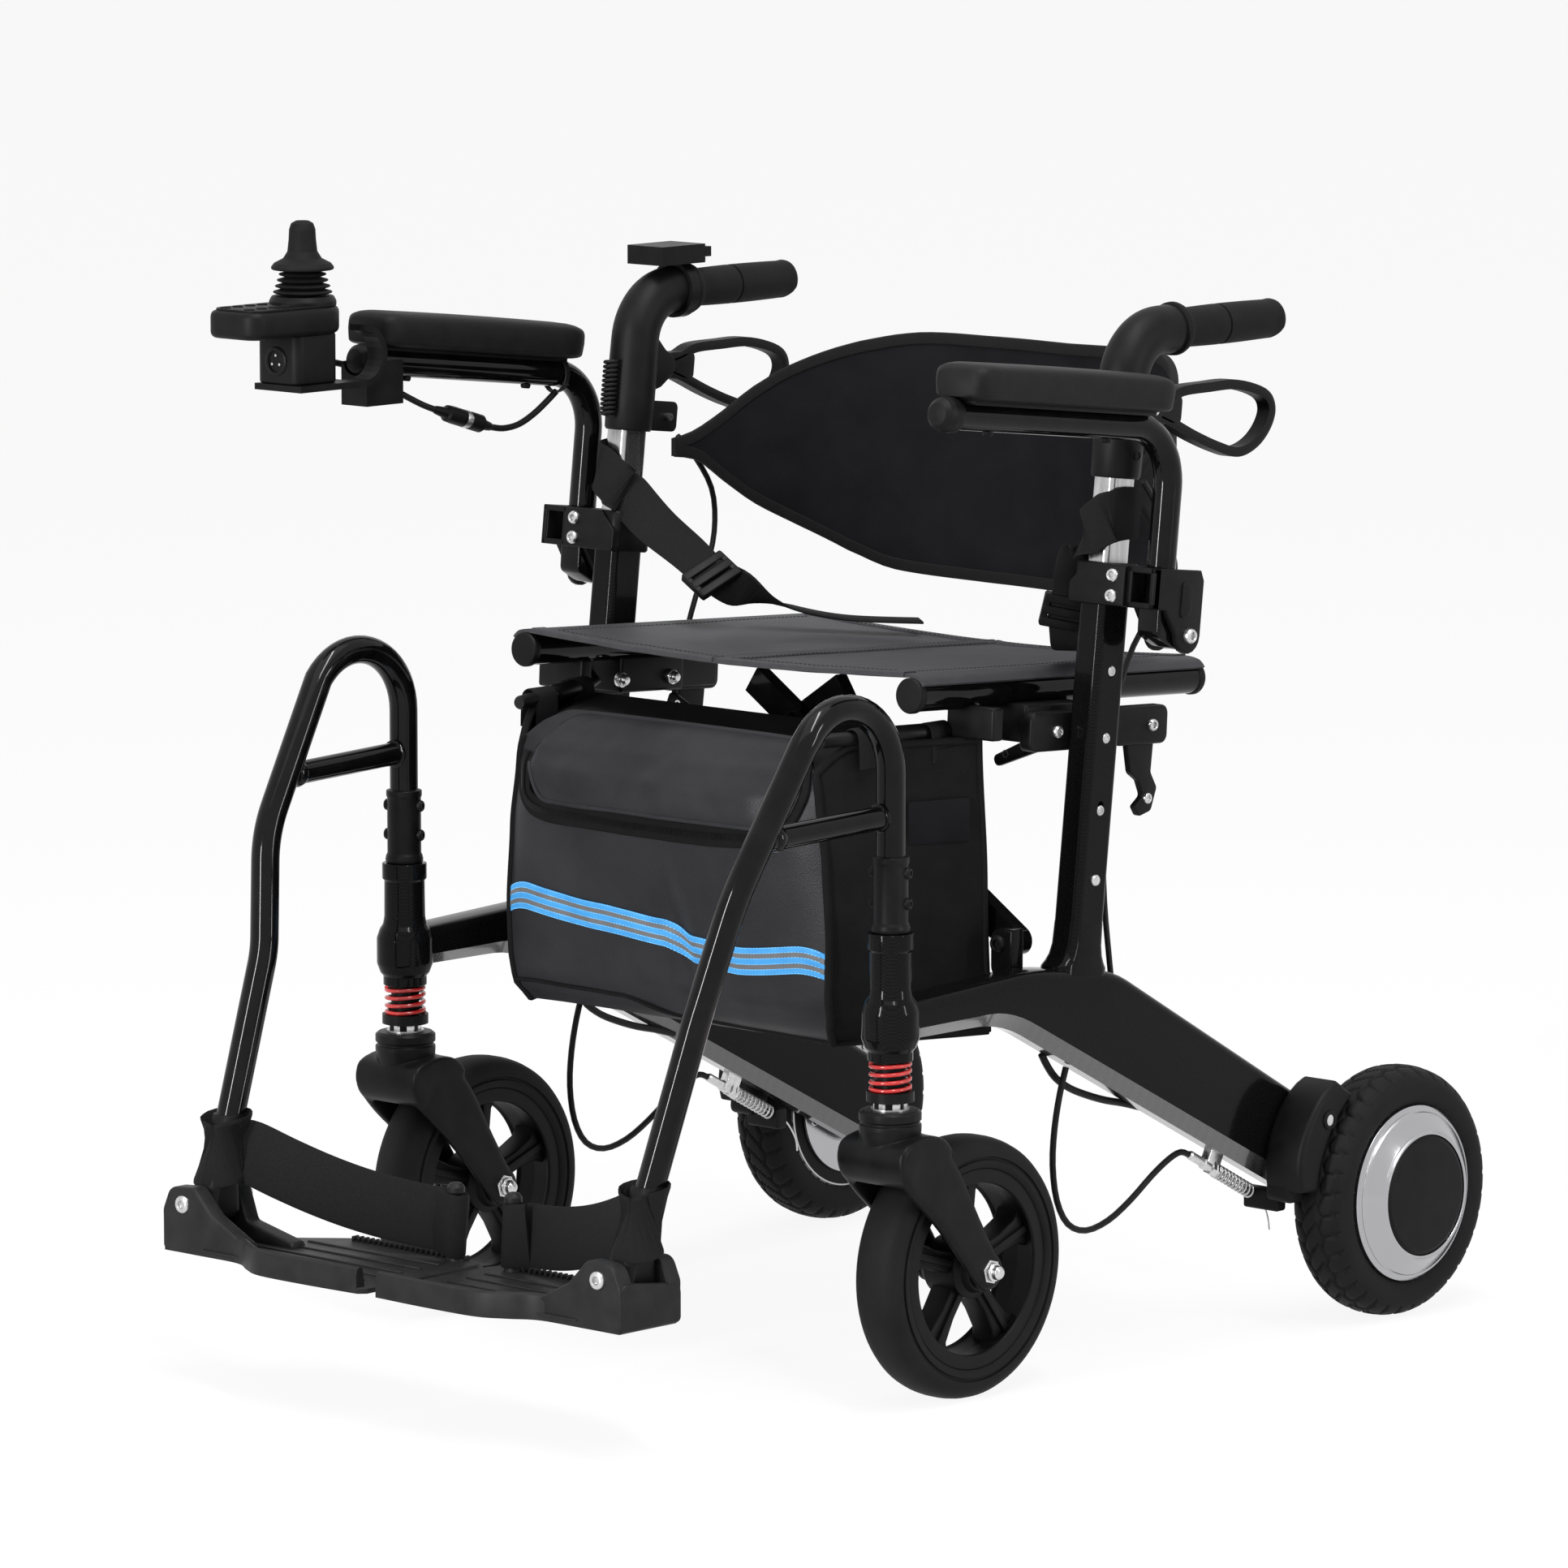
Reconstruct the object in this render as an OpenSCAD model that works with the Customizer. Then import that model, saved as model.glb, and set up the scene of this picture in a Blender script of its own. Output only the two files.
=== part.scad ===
// Powered rollator transport chair, standing on its wheels.
// +Z up, the user faces -Y, +X is the user's left, millimetres.

/* [Wheels] */
// Radius of the front caster tyres
caster_r = 100; // [90:1:105]
// Width of the front caster tyres
caster_w = 42; // [34:1:44]
// Distance by which a caster axle trails its swivel axis
caster_trail = 77; // [70:1:82]
// Radius of the rear motor wheels
rear_r = 99; // [94:1:104]
// Width of the rear tyres
rear_w = 48; // [42:1:50]
// Radius of the black cap on a motor hub
hub_cap_r = 48; // [40:1:54]
// Distance from the caster swivel axis back to the rear axle
wheelbase = 541; // [530:1:560]

/* [Side frame] */
// Distance of a side frame's middle plane from the centre
frame_half = 254; // [250:1:262]
// Width of the frame arms
arm_w = 32; // [28:1:34]
// Height of the front arm's top edge
arm_top = 312; // [308:1:316]
// Height of the front arm's bottom edge
arm_bot = 281; // [276:1:284]
// Radius of the head tube
head_r = 17; // [16:0.5:19]
// Height of the head tube's top
head_top = 363; // [355:1:370]
// Distance of the column's foot behind the head tube
post_back = 210; // [205:1:216]
// Backward lean of the column
lean = 6.66; // [5:0.1:8]
// Width of the column
post_w = 25; // [24:0.5:27]
// Depth of the column
post_d = 34; // [33:0.5:38]
// Length of the column
post_len = 300; // [296:1:304]
// Distance between the column's adjustment holes
hole_pitch = 50; // [40:1:52]

/* [Seat] */
// Distance of a seat rail from the centre
rail_half = 201; // [198:1:206]
// Radius of a seat rail
rail_r = 12.5; // [11:0.5:13]
// Length of a seat rail
rail_len = 324; // [300:1:330]
// Height of a seat rail's front end
rail_z = 527; // [524:1:530]
// Downward slope of the seat to the rear
rail_slope = 3.1; // [2:0.1:4]
// Thickness of the sling seat
seat_t = 5; // [3:0.5:6]
// Radius of the back band, seen from above
band_r = 236; // [228:1:240]
// Thickness of the back band
band_t = 6; // [4:0.5:8]
// Height of the back band's middle
band_h = 196; // [160:1:200]
// Height of the under-seat bag
bag_h = 226; // [190:1:226]

/* [Handles] */
// Width of the inner handle tube
tube_w = 20; // [18:0.5:20]
// Depth of the inner handle tube
tube_d = 28; // [26:0.5:28]
// Length of inner handle tube that shows at rest
tube_show = 64; // [60:1:80]
// Radius of the handle housing
housing_r = 18.5; // [17:0.5:19]
// Bend radius of the handle housing
elbow_r = 42; // [38:1:46]
// Radius of the grip
grip_r = 15.5; // [14:0.5:16]
// Length of the grip
grip_len = 122; // [100:1:124]
// Width of the brake lever's loop strap
lever_w = 14; // [10:1:16]

/* [Armrests] */
// Distance of an armrest tube from the centre
arm_half = 302; // [301:0.5:304]
// Radius of the armrest and leg rest tubes
tube_r = 11; // [10:0.5:11]
// Height of the armrest tube above the column's foot
arm_rise = 413; // [408:1:418]
// Length of the armrest tube ahead of its upright
arm_reach = 261; // [255:1:265]
// Length of the armrest pad
pad_len = 228; // [200:1:232]
// Width of the armrest pad
pad_w = 54; // [48:1:54]
// Thickness of the armrest pad
pad_t = 28; // [22:1:32]

/* [Leg rests] */
// Height of the leg rest's loop
loop_top = 546; // [530:1:560]
// Radius of the leg rest's loop
loop_r = 52; // [46:1:54]
// Height of the footplate's hinge
foot_z = 136; // [134:1:140]
// Distance of the footplate's hinge from the centre
foot_half = 217; // [214:1:220]
// Distance of the footplate's front edge ahead of the head tube
foot_reach = 300; // [294:1:306]
// Depth of the footplate
foot_d = 138; // [130:1:140]
// Height of the footplate's front wall
foot_wall = 20; // [14:1:22]

/* [Suspension] */
// Outer radius of the caster springs
spring_r = 16; // [14:0.5:17]
// Wire diameter of the caster springs
spring_wire = 3; // [2.8:0.1:3]
// Number of turns of a caster spring
spring_turns = 3.25; // [3:0.25:3.25]
// Height of a caster spring
spring_h = 22; // [22:0.5:24]
// Height of the spring's upper seat
spring_top = 266; // [264:0.5:268]

/* [Hidden] */
$fn = 48;

// Clearances: running fit of a shaft, free gap between bodies, slide fit
run = 0.05;
free = 0.5;
slide = 0.3;
eps = 0.01;

// The head tube's place, so that the chair's length is centred on the origin
head_y = (foot_reach - wheelbase - rear_r) / 2;
carbon = [0.05, 0.05, 0.06];
plastic = [0.1, 0.1, 0.11];
fabric = [0.13, 0.13, 0.14];
rubber = [0.07, 0.07, 0.07];
steel = [0.75, 0.75, 0.76];

// Wheel centres
caster_z = caster_r;
axle_r = 6;
rear_x = frame_half + arm_w / 2 + 2 + rear_w / 2;
motor_axle_r = 8;

// Side frame outline, as distances behind the head tube and heights
knee_y = 150;
knee_z = arm_top + 7;
drop_y = post_back + 32;
drop_z = arm_top - 6;
arm_end_r = 34;
arm_angle = atan2(drop_z - rear_r - arm_end_r, wheelbase - drop_y);
arm_end = [wheelbase - arm_end_r * sin(arm_angle), rear_r - arm_end_r * cos(arm_angle)];
low_angle = atan2(arm_bot - arm_end[1], arm_end[0] - knee_y + 34);
head_bot = spring_top + 12;
lug_r = head_r + 6;
arm_in = frame_half - arm_w / 2;

// Suspension heights, from the spring's seat down
ring_r = 18;
ring_low = spring_top - spring_h;
ring_t = 7.5;
nut_h = 6;
fork_top = ring_low - ring_t - nut_h - slide;
pin_r = 8;
fork_neck = 26;

// Brace: lower pivots on the side frames, crossing at the middle under the seat
brace_y = 180;
brace_in = 28;
brace_x = frame_half - brace_in;
brace_low = 333;
brace_mid = 482;
brace_t = 12;
brace_h = 22;
brace_stub = 50;
brace_angle = atan2(brace_mid - brace_low, brace_x);
brace_len = brace_x / cos(brace_angle);
brace_pin = 5;

// Column: clamp, armrest yoke and handle, as heights along the column
clamp_low = post_len - 24;
clamp_h = 32;
yoke_y = 24;
yoke_z = clamp_low - 18;
house_low = clamp_low + clamp_h + tube_show;
elbow_z = house_low + 72;
elbow_y = 1;
elbow_turn = 90 - lean;
collar_r = housing_r + 0.5;
flange_gap = 13;
lever_y = 27;
lever_z = house_low + 53;

// Armrest pad above its tube
pad_low = arm_rise + tube_r + 0.2;
pad_back = -22;
pad_x = arm_half + 4;
arm_bend = 45;
arm_post = 6;

// Joystick controller, ahead of the right armrest
stick_y = -61;
stick_x = -(arm_half - 2);
shell_low = 778;
shell_t = 22;
shell_r = 28;
shell_len = 80;
stick_pivot = 795;
collar_h = 7;

// Routes of the cables, behind the head tube and above the floor
cable_r = 2.5;
brake_route = [[200, 235.6], [193, 216], [187, 190], [185, 162], [190, 134], [203, 114], [224, 106],
  [250, 110], [276, 122], [302, 138], [322, 148], [336, 151.5], [347, 147.5]];
lead_r = 2.6;
lead_front = [[-319, -44.9, 752], [-321, -30, 752], [-323, -8, 750], [-323, 16, 744], [-321, 38, 734],
  [-315, 58, 722], [-309, 76, 712], [-306, 88, 707]];
lead_back = [[-306, 152, 688], [-306, 166, 686], [-305, 182, 688], [-304, 198, 695], [-303, 212, 704],
  [-302, 222, 711.6]];

// Curly cord in front of the right handle housing
curl_turns = 10;
curl_r = 5;
curl_wire = 3;
curl_h = 48;

// Swept tubes
function unit(v) = v / norm(v);
function tangent(p, i) = unit(p[min(i + 1, len(p) - 1)] - p[max(i - 1, 0)]);
function ring_at(c, t, side, r, n) = let (u = unit(cross(t, side)), v = cross(u, t))
  [for (k = [0:n - 1]) c + r * (cos(360 * k / n) * u + sin(360 * k / n) * v)];
function sweep_points(p, side, r, n) = [for (i = [0:len(p) - 1]) each ring_at(p[i], tangent(p, i), side, r, n)];
function quad(i, k, n) = [[i * n + k, i * n + (k + 1) % n, (i + 1) * n + k],
  [i * n + (k + 1) % n, (i + 1) * n + (k + 1) % n, (i + 1) * n + k]];
function sweep_faces(m, n) = concat(
  [for (k = [1:n - 2]) [0, k + 1, k]],
  [for (i = [0:m - 2]) for (k = [0:n - 1]) each quad(i, k, n)],
  [for (k = [1:n - 2]) [(m - 1) * n, (m - 1) * n + k, (m - 1) * n + k + 1]]);
module sweep(p, side, r, n = 8) polyhedron(sweep_points(p, side, r, n), sweep_faces(len(p), n));

// Helical tubes: straight ends, a bend, then turns about the z axis
rings = 8;
bends = [0:30:60];
function helix(turns, r, low, h, wire) = let (b = 0.7 * wire, in = low + wire, out = low + h - wire,
    first = asin(b / r), last = first + 360 * turns, end = last + first)
  concat([[r, 0, low]],
    [for (a = bends) [r, b - b * cos(a), in + b * sin(a)]],
    [for (i = [0:turns * rings]) let (q = first + 360 * i / rings)
      [r * cos(q), r * sin(q), in + b + (out - in - 2 * b) * i / (turns * rings)]],
    [for (a = [30:30:90]) let (x = r, y = b * sin(a) - b)
      [x * cos(end) - y * sin(end), x * sin(end) + y * cos(end), out - b * cos(a)]],
    [[r * cos(end), r * sin(end), low + h]]);
function self_gap(p, wire) = min([for (i = [0:len(p) - 1]) for (j = [i + rings * 0.75:len(p) - 1])
  norm(p[i] - p[j])]) - wire;
module coil(name, turns, r, low, h, wire) {
  p = helix(turns, r, low, h, wire);
  echo(str(name, " least gap to itself ", self_gap(p, wire)));
  side = [for (q = p) [q[0], q[1], 0]];
  n = 6;
  pts = [for (i = [0:len(p) - 1]) each ring_at(p[i], tangent(p, i), side[i], wire / 2, n)];
  polyhedron(pts, sweep_faces(len(p), n));
}

// Small shared shapes
function arc(c, r, angles) = [for (a = angles) c + r * [cos(a), sin(a)]];
module place() translate([0, head_y, 0]) children();
module on_side(s) if (s > 0) children(); else mirror([1, 0, 0]) children();
module slab(x, w) translate([x, 0, 0]) rotate([90, 0, 90]) linear_extrude(w) children();
module leaned() translate([frame_half, post_back, arm_top]) rotate([-lean, 0, 0]) children();
module along_x(x, w, r) translate([x, 0, 0]) rotate([0, 90, 0]) cylinder(r = r, h = w);
module along_y(y, w, r) translate([0, y, 0]) rotate([-90, 0, 0]) cylinder(r = r, h = w);
module bar(a, b, r) translate(a) rotate([0, acos((b - a)[2] / norm(b - a)), atan2((b - a)[1], (b - a)[0])])
  cylinder(r = r, h = norm(b - a));
module rounded(w, d, r) {
  square([w - 2 * r, d], center = true);
  square([w, d - 2 * r], center = true);
  for (x = [-1, 1], y = [-1, 1]) translate([x * (w / 2 - r), y * (d / 2 - r)]) circle(r);
}
module bolt(p, axis, r, h) translate(p) rotate(axis) cylinder(r = r, h = h);

// Carbon side frame: head tube, front arm, knee and dropped rear arm
module arm_outline() {
  polygon([[0, arm_bot], [0, arm_top], [knee_y, knee_z], [drop_y, drop_z],
    [wheelbase + arm_end_r * sin(arm_angle), rear_r + arm_end_r * cos(arm_angle)],
    arm_end, [knee_y - 34, arm_bot]]);
  translate([wheelbase, rear_r]) circle(arm_end_r);
}
module side_frame(s) {
  bore = tube_r + run;
  lug_y = s > 0 ? brace_y - brace_t - free - 15 : brace_y + brace_t + 2 * free;
  color(carbon) place() on_side(s) difference() {
    union() {
      slab(arm_in, arm_w) arm_outline();
      translate([frame_half, 0, 0]) rotate_extrude() polygon([[0, head_bot], [lug_r - 3, head_bot],
        [lug_r, head_bot + 8], [lug_r, arm_top], [head_r, arm_top + 9], [head_r, head_top], [0, head_top]]);
      translate([frame_half, 0, spring_top]) cylinder(r = ring_r, h = head_bot - spring_top);
      translate([brace_x - 8, lug_y, brace_low - 26]) cube([arm_in - brace_x + 10, 15, 38]);
      bolt([brace_x, s > 0 ? lug_y + eps : lug_y + 15 - eps, brace_low], [s > 0 ? -90 : 90, 0, 0],
        brace_pin, 15 + brace_t + free);
      translate([0, wheelbase, rear_r]) along_x(arm_in, rear_x + 14 - arm_in, motor_axle_r);
    }
    translate([frame_half, 0, spring_top - 1]) cylinder(r = bore, h = head_top);
    translate([0, shoe_y, shoe_z]) along_x(arm_in - 1, arm_w + 2, shoe_pin + run);
  }
}

// Column with its adjustment holes
module column(s) color(carbon) place() on_side(s) difference() {
  leaned() translate([0, 0, -30]) linear_extrude(post_len + 30) difference() {
    rounded(post_w, post_d, 6);
    rounded(tube_w + 2 * slide, tube_d + 2 * slide, 4);
  }
  slab(arm_in - 1, arm_w + 2) arm_outline();
  leaned() for (i = [0:2]) translate([0, 0, 124 + i * hole_pitch]) along_x(post_w / 2 - 5, 10, 3.2);
}

// Seat rail with its caps, saddle block, drilled strap, bolts and bag rod
saddle_y = 54;
saddle_w = 161;
saddle_h = 31;
saddle_low = -43;
module rail_frame() translate([rail_half, 83, rail_z]) rotate([-rail_slope, 0, 0]) children();
module seat_rail(s) color(plastic) place() on_side(s) {
  saddle_x = frame_half - rail_half;
  rail_frame() {
    along_y(0, rail_len, rail_r);
    for (y = [-4, rail_len]) along_y(y, 4, rail_r + 1);
    translate([-11, 96, saddle_low + 6]) cube([saddle_x - 4, 76, 32]);
    for (y = [28, 144]) translate([0, saddle_y + y, saddle_low + 19]) along_x(saddle_x + 10, 9, 5);
    translate([-11, 52, saddle_low + 10]) cube([saddle_x, 12, 18]);
    translate([-54, 154, saddle_low - 16]) rotate([0, -20, 0]) difference() {
      cube([52, 5, 16]);
      translate([9, 0, 8]) along_y(-1, 8, 3);
      translate([24, 0, 8]) along_y(-1, 8, 3);
    }
  }
  difference() {
    rail_frame() translate([saddle_x - 16, saddle_y, saddle_low]) cube([30, saddle_w, saddle_h]);
    leaned() linear_extrude(post_len) rounded(post_w, post_d, 6);
  }
  bar([158, 30, 494], [192, 141, 494], 5.5);
}

// Clamp on the column's top, with the armrest's yoke
cheek_t = 4.5;
module column_clamp(s) color(plastic) place() on_side(s) leaned() {
  cheek_x = arm_half - frame_half;
  difference() {
    union() {
      translate([0, 0, clamp_low]) linear_extrude(clamp_h) rounded(post_w + 8, post_d + 8, 8);
      translate([post_w / 2 + 2, -14, clamp_low]) cube([cheek_x - tube_r - post_w / 2 - 3, 40, clamp_h]);
      for (x = [-tube_r - free - cheek_t, tube_r + free]) slab(cheek_x + x, cheek_t) {
        translate([-14, yoke_z]) square([56, clamp_low + clamp_h - yoke_z]);
        translate([yoke_y, yoke_z]) circle(14);
      }
      translate([cheek_x - tube_r - free - eps, -14, clamp_low]) cube([2 * tube_r + 2 * free + 1, 5, clamp_h]);
      translate([0, yoke_y, yoke_z]) along_x(cheek_x - 19, 38, 5);
    }
    translate([0, 0, clamp_low - 1]) linear_extrude(post_len - clamp_low + 1) rounded(post_w, post_d, 6);
    translate([0, 0, clamp_low]) linear_extrude(clamp_h + 1) rounded(tube_w + 1, tube_d + 1, 4);
  }
  for (z = [8, 23]) translate([0, -16, clamp_low + z]) along_x(post_w / 2 + 3, 5, 4.5);
}

// Aluminium handle tube that slides in the column
module handle_tube(s) color(steel) place() on_side(s) leaned()
  translate([0, 0, post_len - 150]) linear_extrude(house_low + 40 - post_len + 150) difference() {
    rounded(tube_w, tube_d, 4);
    rounded(tube_w - 4, tube_d - 4, 2);
  }

// Moulded handle housing with its elbow, flange, lever block and back bracket
module elbow() translate([0, elbow_y + elbow_r, elbow_z]) rotate([90, 0, -90])
  rotate_extrude(angle = elbow_turn) translate([elbow_r, 0]) circle(housing_r);
module on_grip() {
  end_y = elbow_y + elbow_r - elbow_r * cos(elbow_turn);
  end_z = elbow_z + elbow_r * sin(elbow_turn);
  translate([0, end_y, end_z]) rotate([lean, 0, 0]) rotate([-90, 0, 0]) children();
}
module band_bolt(s) difference() {
  leaned() translate([0, 30, house_low + 13]) along_x(band_r - frame_half - 6, frame_half - band_r - 6, 5);
  translate([0, band_y, 0]) cylinder(r = band_r + (s < 0 ? 0 : free), h = 1000, $fn = 180);
}
module handle_housing(s) color(plastic) place() on_side(s) {
  band_bolt(s);
  leaned() housing_body(s);
}
module housing_body(s) {
  difference() {
    union() {
      translate([0, elbow_y, house_low]) cylinder(r = collar_r, h = elbow_z - house_low + 1);
      elbow();
      on_grip() translate([0, 0, -1]) cylinder(r = collar_r, h = flange_gap + 1);
      translate([-9, 4, house_low + 34]) cube([18, 18, 44]);
      for (x = [-9, lever_w / 2 + free]) slab(x - (x < 0 ? 2 : 0), 4) translate([lever_y, lever_z]) circle(11);
    }
    translate([0, 0, house_low - 1]) linear_extrude(41) rounded(tube_w, tube_d, 4);
    slab(-lever_w / 2 - free, lever_w + 2 * free) translate([lever_y, lever_z]) circle(14);
  }
  translate([0, lever_y, lever_z]) along_x(-9, 18, 4);
  translate([-tube_w / 2 - slide - 4, 10, house_low + 2]) cube([4, 32, 22]);
  if (s < 0) for (z = [2, 8.6 + curl_h]) translate([-8, -28, house_low + z]) cube([16, 12.5, 6]);
}

// Rubber grip with its flange
module grip(s) color(rubber) place() on_side(s) leaned() on_grip() translate([0, 0, flange_gap]) {
  cylinder(r = housing_r + 2, h = 7);
  difference() {
    cylinder(r = grip_r, h = grip_len);
    translate([0, -grip_r - 9, grip_len]) rotate([35, 0, 0]) translate([-30, -60, 0]) cube([60, 60, 60]);
  }
}

// Loop brake lever, hinged in the housing
module brake_lever(s) color(plastic) place() on_side(s) leaned() difference() {
  union() {
    slab(-lever_w / 2, lever_w) translate([lever_y, lever_z]) circle(9);
    slab(-lever_w / 2, lever_w) polygon([[lever_y, lever_z + 8], [66, lever_z + 22], [130, lever_z + 28],
      [166, lever_z + 22], [178, lever_z + 8], [168, lever_z - 13], [140, lever_z - 31],
      [112, lever_z - 28], [60, lever_z - 14], [lever_y, lever_z - 8]]);
  }
  slab(-lever_w, 2 * lever_w) polygon([[70, lever_z + 12], [130, lever_z + 18], [160, lever_z + 13],
    [168, lever_z + 5], [160, lever_z - 7], [138, lever_z - 21], [114, lever_z - 18], [64, lever_z - 3]]);
  translate([0, lever_y, lever_z]) along_x(-20, 40, 4 + run);
}

// Armrest tube with its pivot lug, front cap and lead clip
module armrest_tube(s) color(carbon) place() on_side(s) leaned() translate([arm_half - frame_half, 0, 0])
  difference() {
    union() {
      translate([0, arm_post, yoke_z + 24]) cylinder(r = tube_r, h = arm_rise - arm_bend - yoke_z - 24);
      translate([0, arm_post - arm_bend, arm_rise - arm_bend]) rotate([90, 0, 90])
        rotate_extrude(angle = 90) translate([arm_bend, 0]) circle(tube_r);
      translate([0, 0, arm_rise]) along_y(arm_post - arm_reach + 6, arm_reach - arm_bend - 6, tube_r);
      translate([0, arm_post - arm_reach + 6, arm_rise - 1]) sphere(tube_r + 1);
      slab(-tube_r, 2 * tube_r) {
        translate([yoke_y, yoke_z]) circle(12);
        translate([arm_post - tube_r, yoke_z + 6]) square([2 * tube_r, 20]);
        translate([arm_post - tube_r + 2, yoke_z - 6]) square([22, 16]);
      }
    }
    translate([0, yoke_y, yoke_z]) along_x(-30, 60, 5 + run);
  }

// Armrest pad: crowned, sides drawn in
pad_steps = 12;
pad_sides = 24;
function pad_end(t) = pow(max(0, 1 - pow(abs(2 * t - 1), 8)), 0.5);
function pad_ring(t) = let (w = (pad_w / 2 - 1.5 * sin(180 * t)) * (0.55 + 0.45 * pad_end(t)), h = pad_t / 2,
    e = 0.55 + 0.45 * pad_end(t))
  [for (k = [0:pad_sides - 1]) let (c = cos(360 * k / pad_sides), d = sin(360 * k / pad_sides))
    [w * sign(c) * pow(abs(c), 0.35), (t - 1) * pad_len + pad_back,
      pad_low + h + (d > 0 ? h * e * pow(d, 0.35) * (1 - 0.06 * c * c) : -h * pow(-d, 0.35))]];
module armrest_pad(s) color(rubber) place() on_side(s) leaned() translate([pad_x - frame_half, 0, 0])
  polyhedron([for (i = [0:pad_steps]) each pad_ring(i / pad_steps)], sweep_faces(pad_steps + 1, pad_sides));

// Caster suspension and swivel
module suspension_spring(s) color("red") place() on_side(s) translate([frame_half, 0, 0])
  coil("suspension spring", spring_turns, spring_r - spring_wire / 2, ring_low, spring_h, spring_wire);
module caster_stem(s) color(plastic) place() on_side(s) translate([frame_half, 0, 0]) {
  translate([0, 0, fork_top - fork_neck + 1]) cylinder(r = pin_r, h = fork_neck + nut_h);
  translate([0, 0, ring_low - ring_t]) cylinder(r = ring_r, h = ring_t);
  translate([0, 0, fork_top + slide]) cylinder(r = 12.5, h = nut_h, $fn = 6);
  translate([0, 0, ring_low - eps]) cylinder(r = tube_r, h = 56);
}
leg_in = caster_w / 2 + 4;
leg_t = 8;
module caster_fork(s) color(plastic) place() on_side(s) translate([frame_half, 0, 0]) difference() {
  union() {
    translate([0, 0, fork_top - 14]) cylinder(r = 23.5, h = 14);
    translate([0, 0, fork_top - fork_neck]) cylinder(r = 22.5, h = fork_neck - 14 + eps);
    translate([-leg_in - leg_t, 0, 0]) slab(0, 2 * (leg_in + leg_t)) polygon([[-21, fork_top - fork_neck - 6],
      [-21, fork_top - 20], [20, fork_top - 20], [34, fork_top - fork_neck], [34, fork_top - fork_neck - 6]]);
    for (x = [-leg_in - leg_t, leg_in]) slab(x, leg_t) {
      polygon([[-21, fork_top - 26], [34, fork_top - 24], [caster_trail + 13, caster_z + 8],
        [caster_trail - 13, caster_z - 8], [-16, fork_top - 52]]);
      translate([caster_trail, caster_z]) circle(15);
    }
    translate([0, caster_trail, caster_z]) along_x(-leg_in - leg_t - 5, 2 * (leg_in + leg_t + 5), axle_r);
    for (x = [-leg_in - leg_t - 6, leg_in + leg_t]) translate([0, caster_trail, caster_z]) along_x(x, 6, 8);
  }
  translate([0, 0, fork_top - fork_neck - 0.5]) cylinder(r = pin_r + run, h = fork_neck + 1);
}
rim_r = caster_r - 24;
module caster_spin(s) place() on_side(s) translate([frame_half, caster_trail, caster_z]) rotate([0, 90, 0])
  children();
module caster_tyre(s) color(rubber) caster_spin(s) rotate_extrude() difference() {
  union() {
    translate([rim_r, -caster_w / 2]) square([caster_r - rim_r - 12, caster_w]);
    translate([rim_r, 9 - caster_w / 2]) square([caster_r - rim_r, caster_w - 18]);
    for (y = [-1, 1]) translate([caster_r - 12, y * (caster_w / 2 - 9)]) circle(9);
    for (y = [-1, 1]) translate([caster_r - 9, y * (caster_w / 2 - 9)]) circle(9);
  }
  for (y = [-1, 1]) translate([rim_r + 9, y * caster_w / 2]) circle(1.5);
}
module caster_rim(s) color(plastic) caster_spin(s) difference() {
  union() {
    difference() {
      translate([0, 0, -caster_w / 2 + 2]) cylinder(r = rim_r, h = caster_w - 4);
      translate([0, 0, -caster_w]) cylinder(r = rim_r - 9, h = 2 * caster_w);
    }
    translate([0, 0, -leg_in + free]) cylinder(r = 17, h = 2 * (leg_in - free));
    for (a = [0:72:359]) rotate(a + 20) translate([12, -7, -10]) cube([rim_r - 18, 14, 20]);
  }
  translate([0, 0, -caster_w]) cylinder(r = axle_r + run, h = 2 * caster_w);
}

// Rear motor wheel: tyre and hub
hub_r = rear_r - 29;
module rear_spin(s) place() on_side(s) translate([rear_x, wheelbase, rear_r]) rotate([0, 90, 0]) children();
module rear_tyre(s) color(rubber) rear_spin(s) rotate_extrude() {
  translate([hub_r, -rear_w / 2 + 4]) square([10, rear_w - 8]);
  intersection() {
    translate([hub_r + 9, -rear_w / 2]) square([rear_r - hub_r - 9, rear_w]);
    union() {
      translate([hub_r + 9, -rear_w / 2 + 10]) square([rear_r - hub_r - 9, rear_w - 20]);
      for (y = [-1, 1]) translate([rear_r - 13, y * (rear_w / 2 - 13)]) circle(13);
      translate([hub_r, -rear_w / 2]) square([rear_r - hub_r - 12, rear_w]);
    }
  }
}
hub_out = rear_w / 2 + 14;
module rear_hub(s) color(steel) rear_spin(s) difference() {
  rotate_extrude() polygon([[0, -rear_w / 2], [hub_r - 14, -rear_w / 2], [hub_r - 12, -rear_w / 2 + 4],
    [hub_r, -rear_w / 2 + 4], [hub_r, rear_w / 2 - 4], [hub_r - 1, rear_w / 2], [hub_cap_r + 3, hub_out - 2],
    [hub_cap_r, hub_out - 2], [hub_cap_r, hub_out], [0, hub_out]]);
  translate([0, 0, -rear_w]) cylinder(r = motor_axle_r + run, h = rear_w + 15);
}

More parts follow.
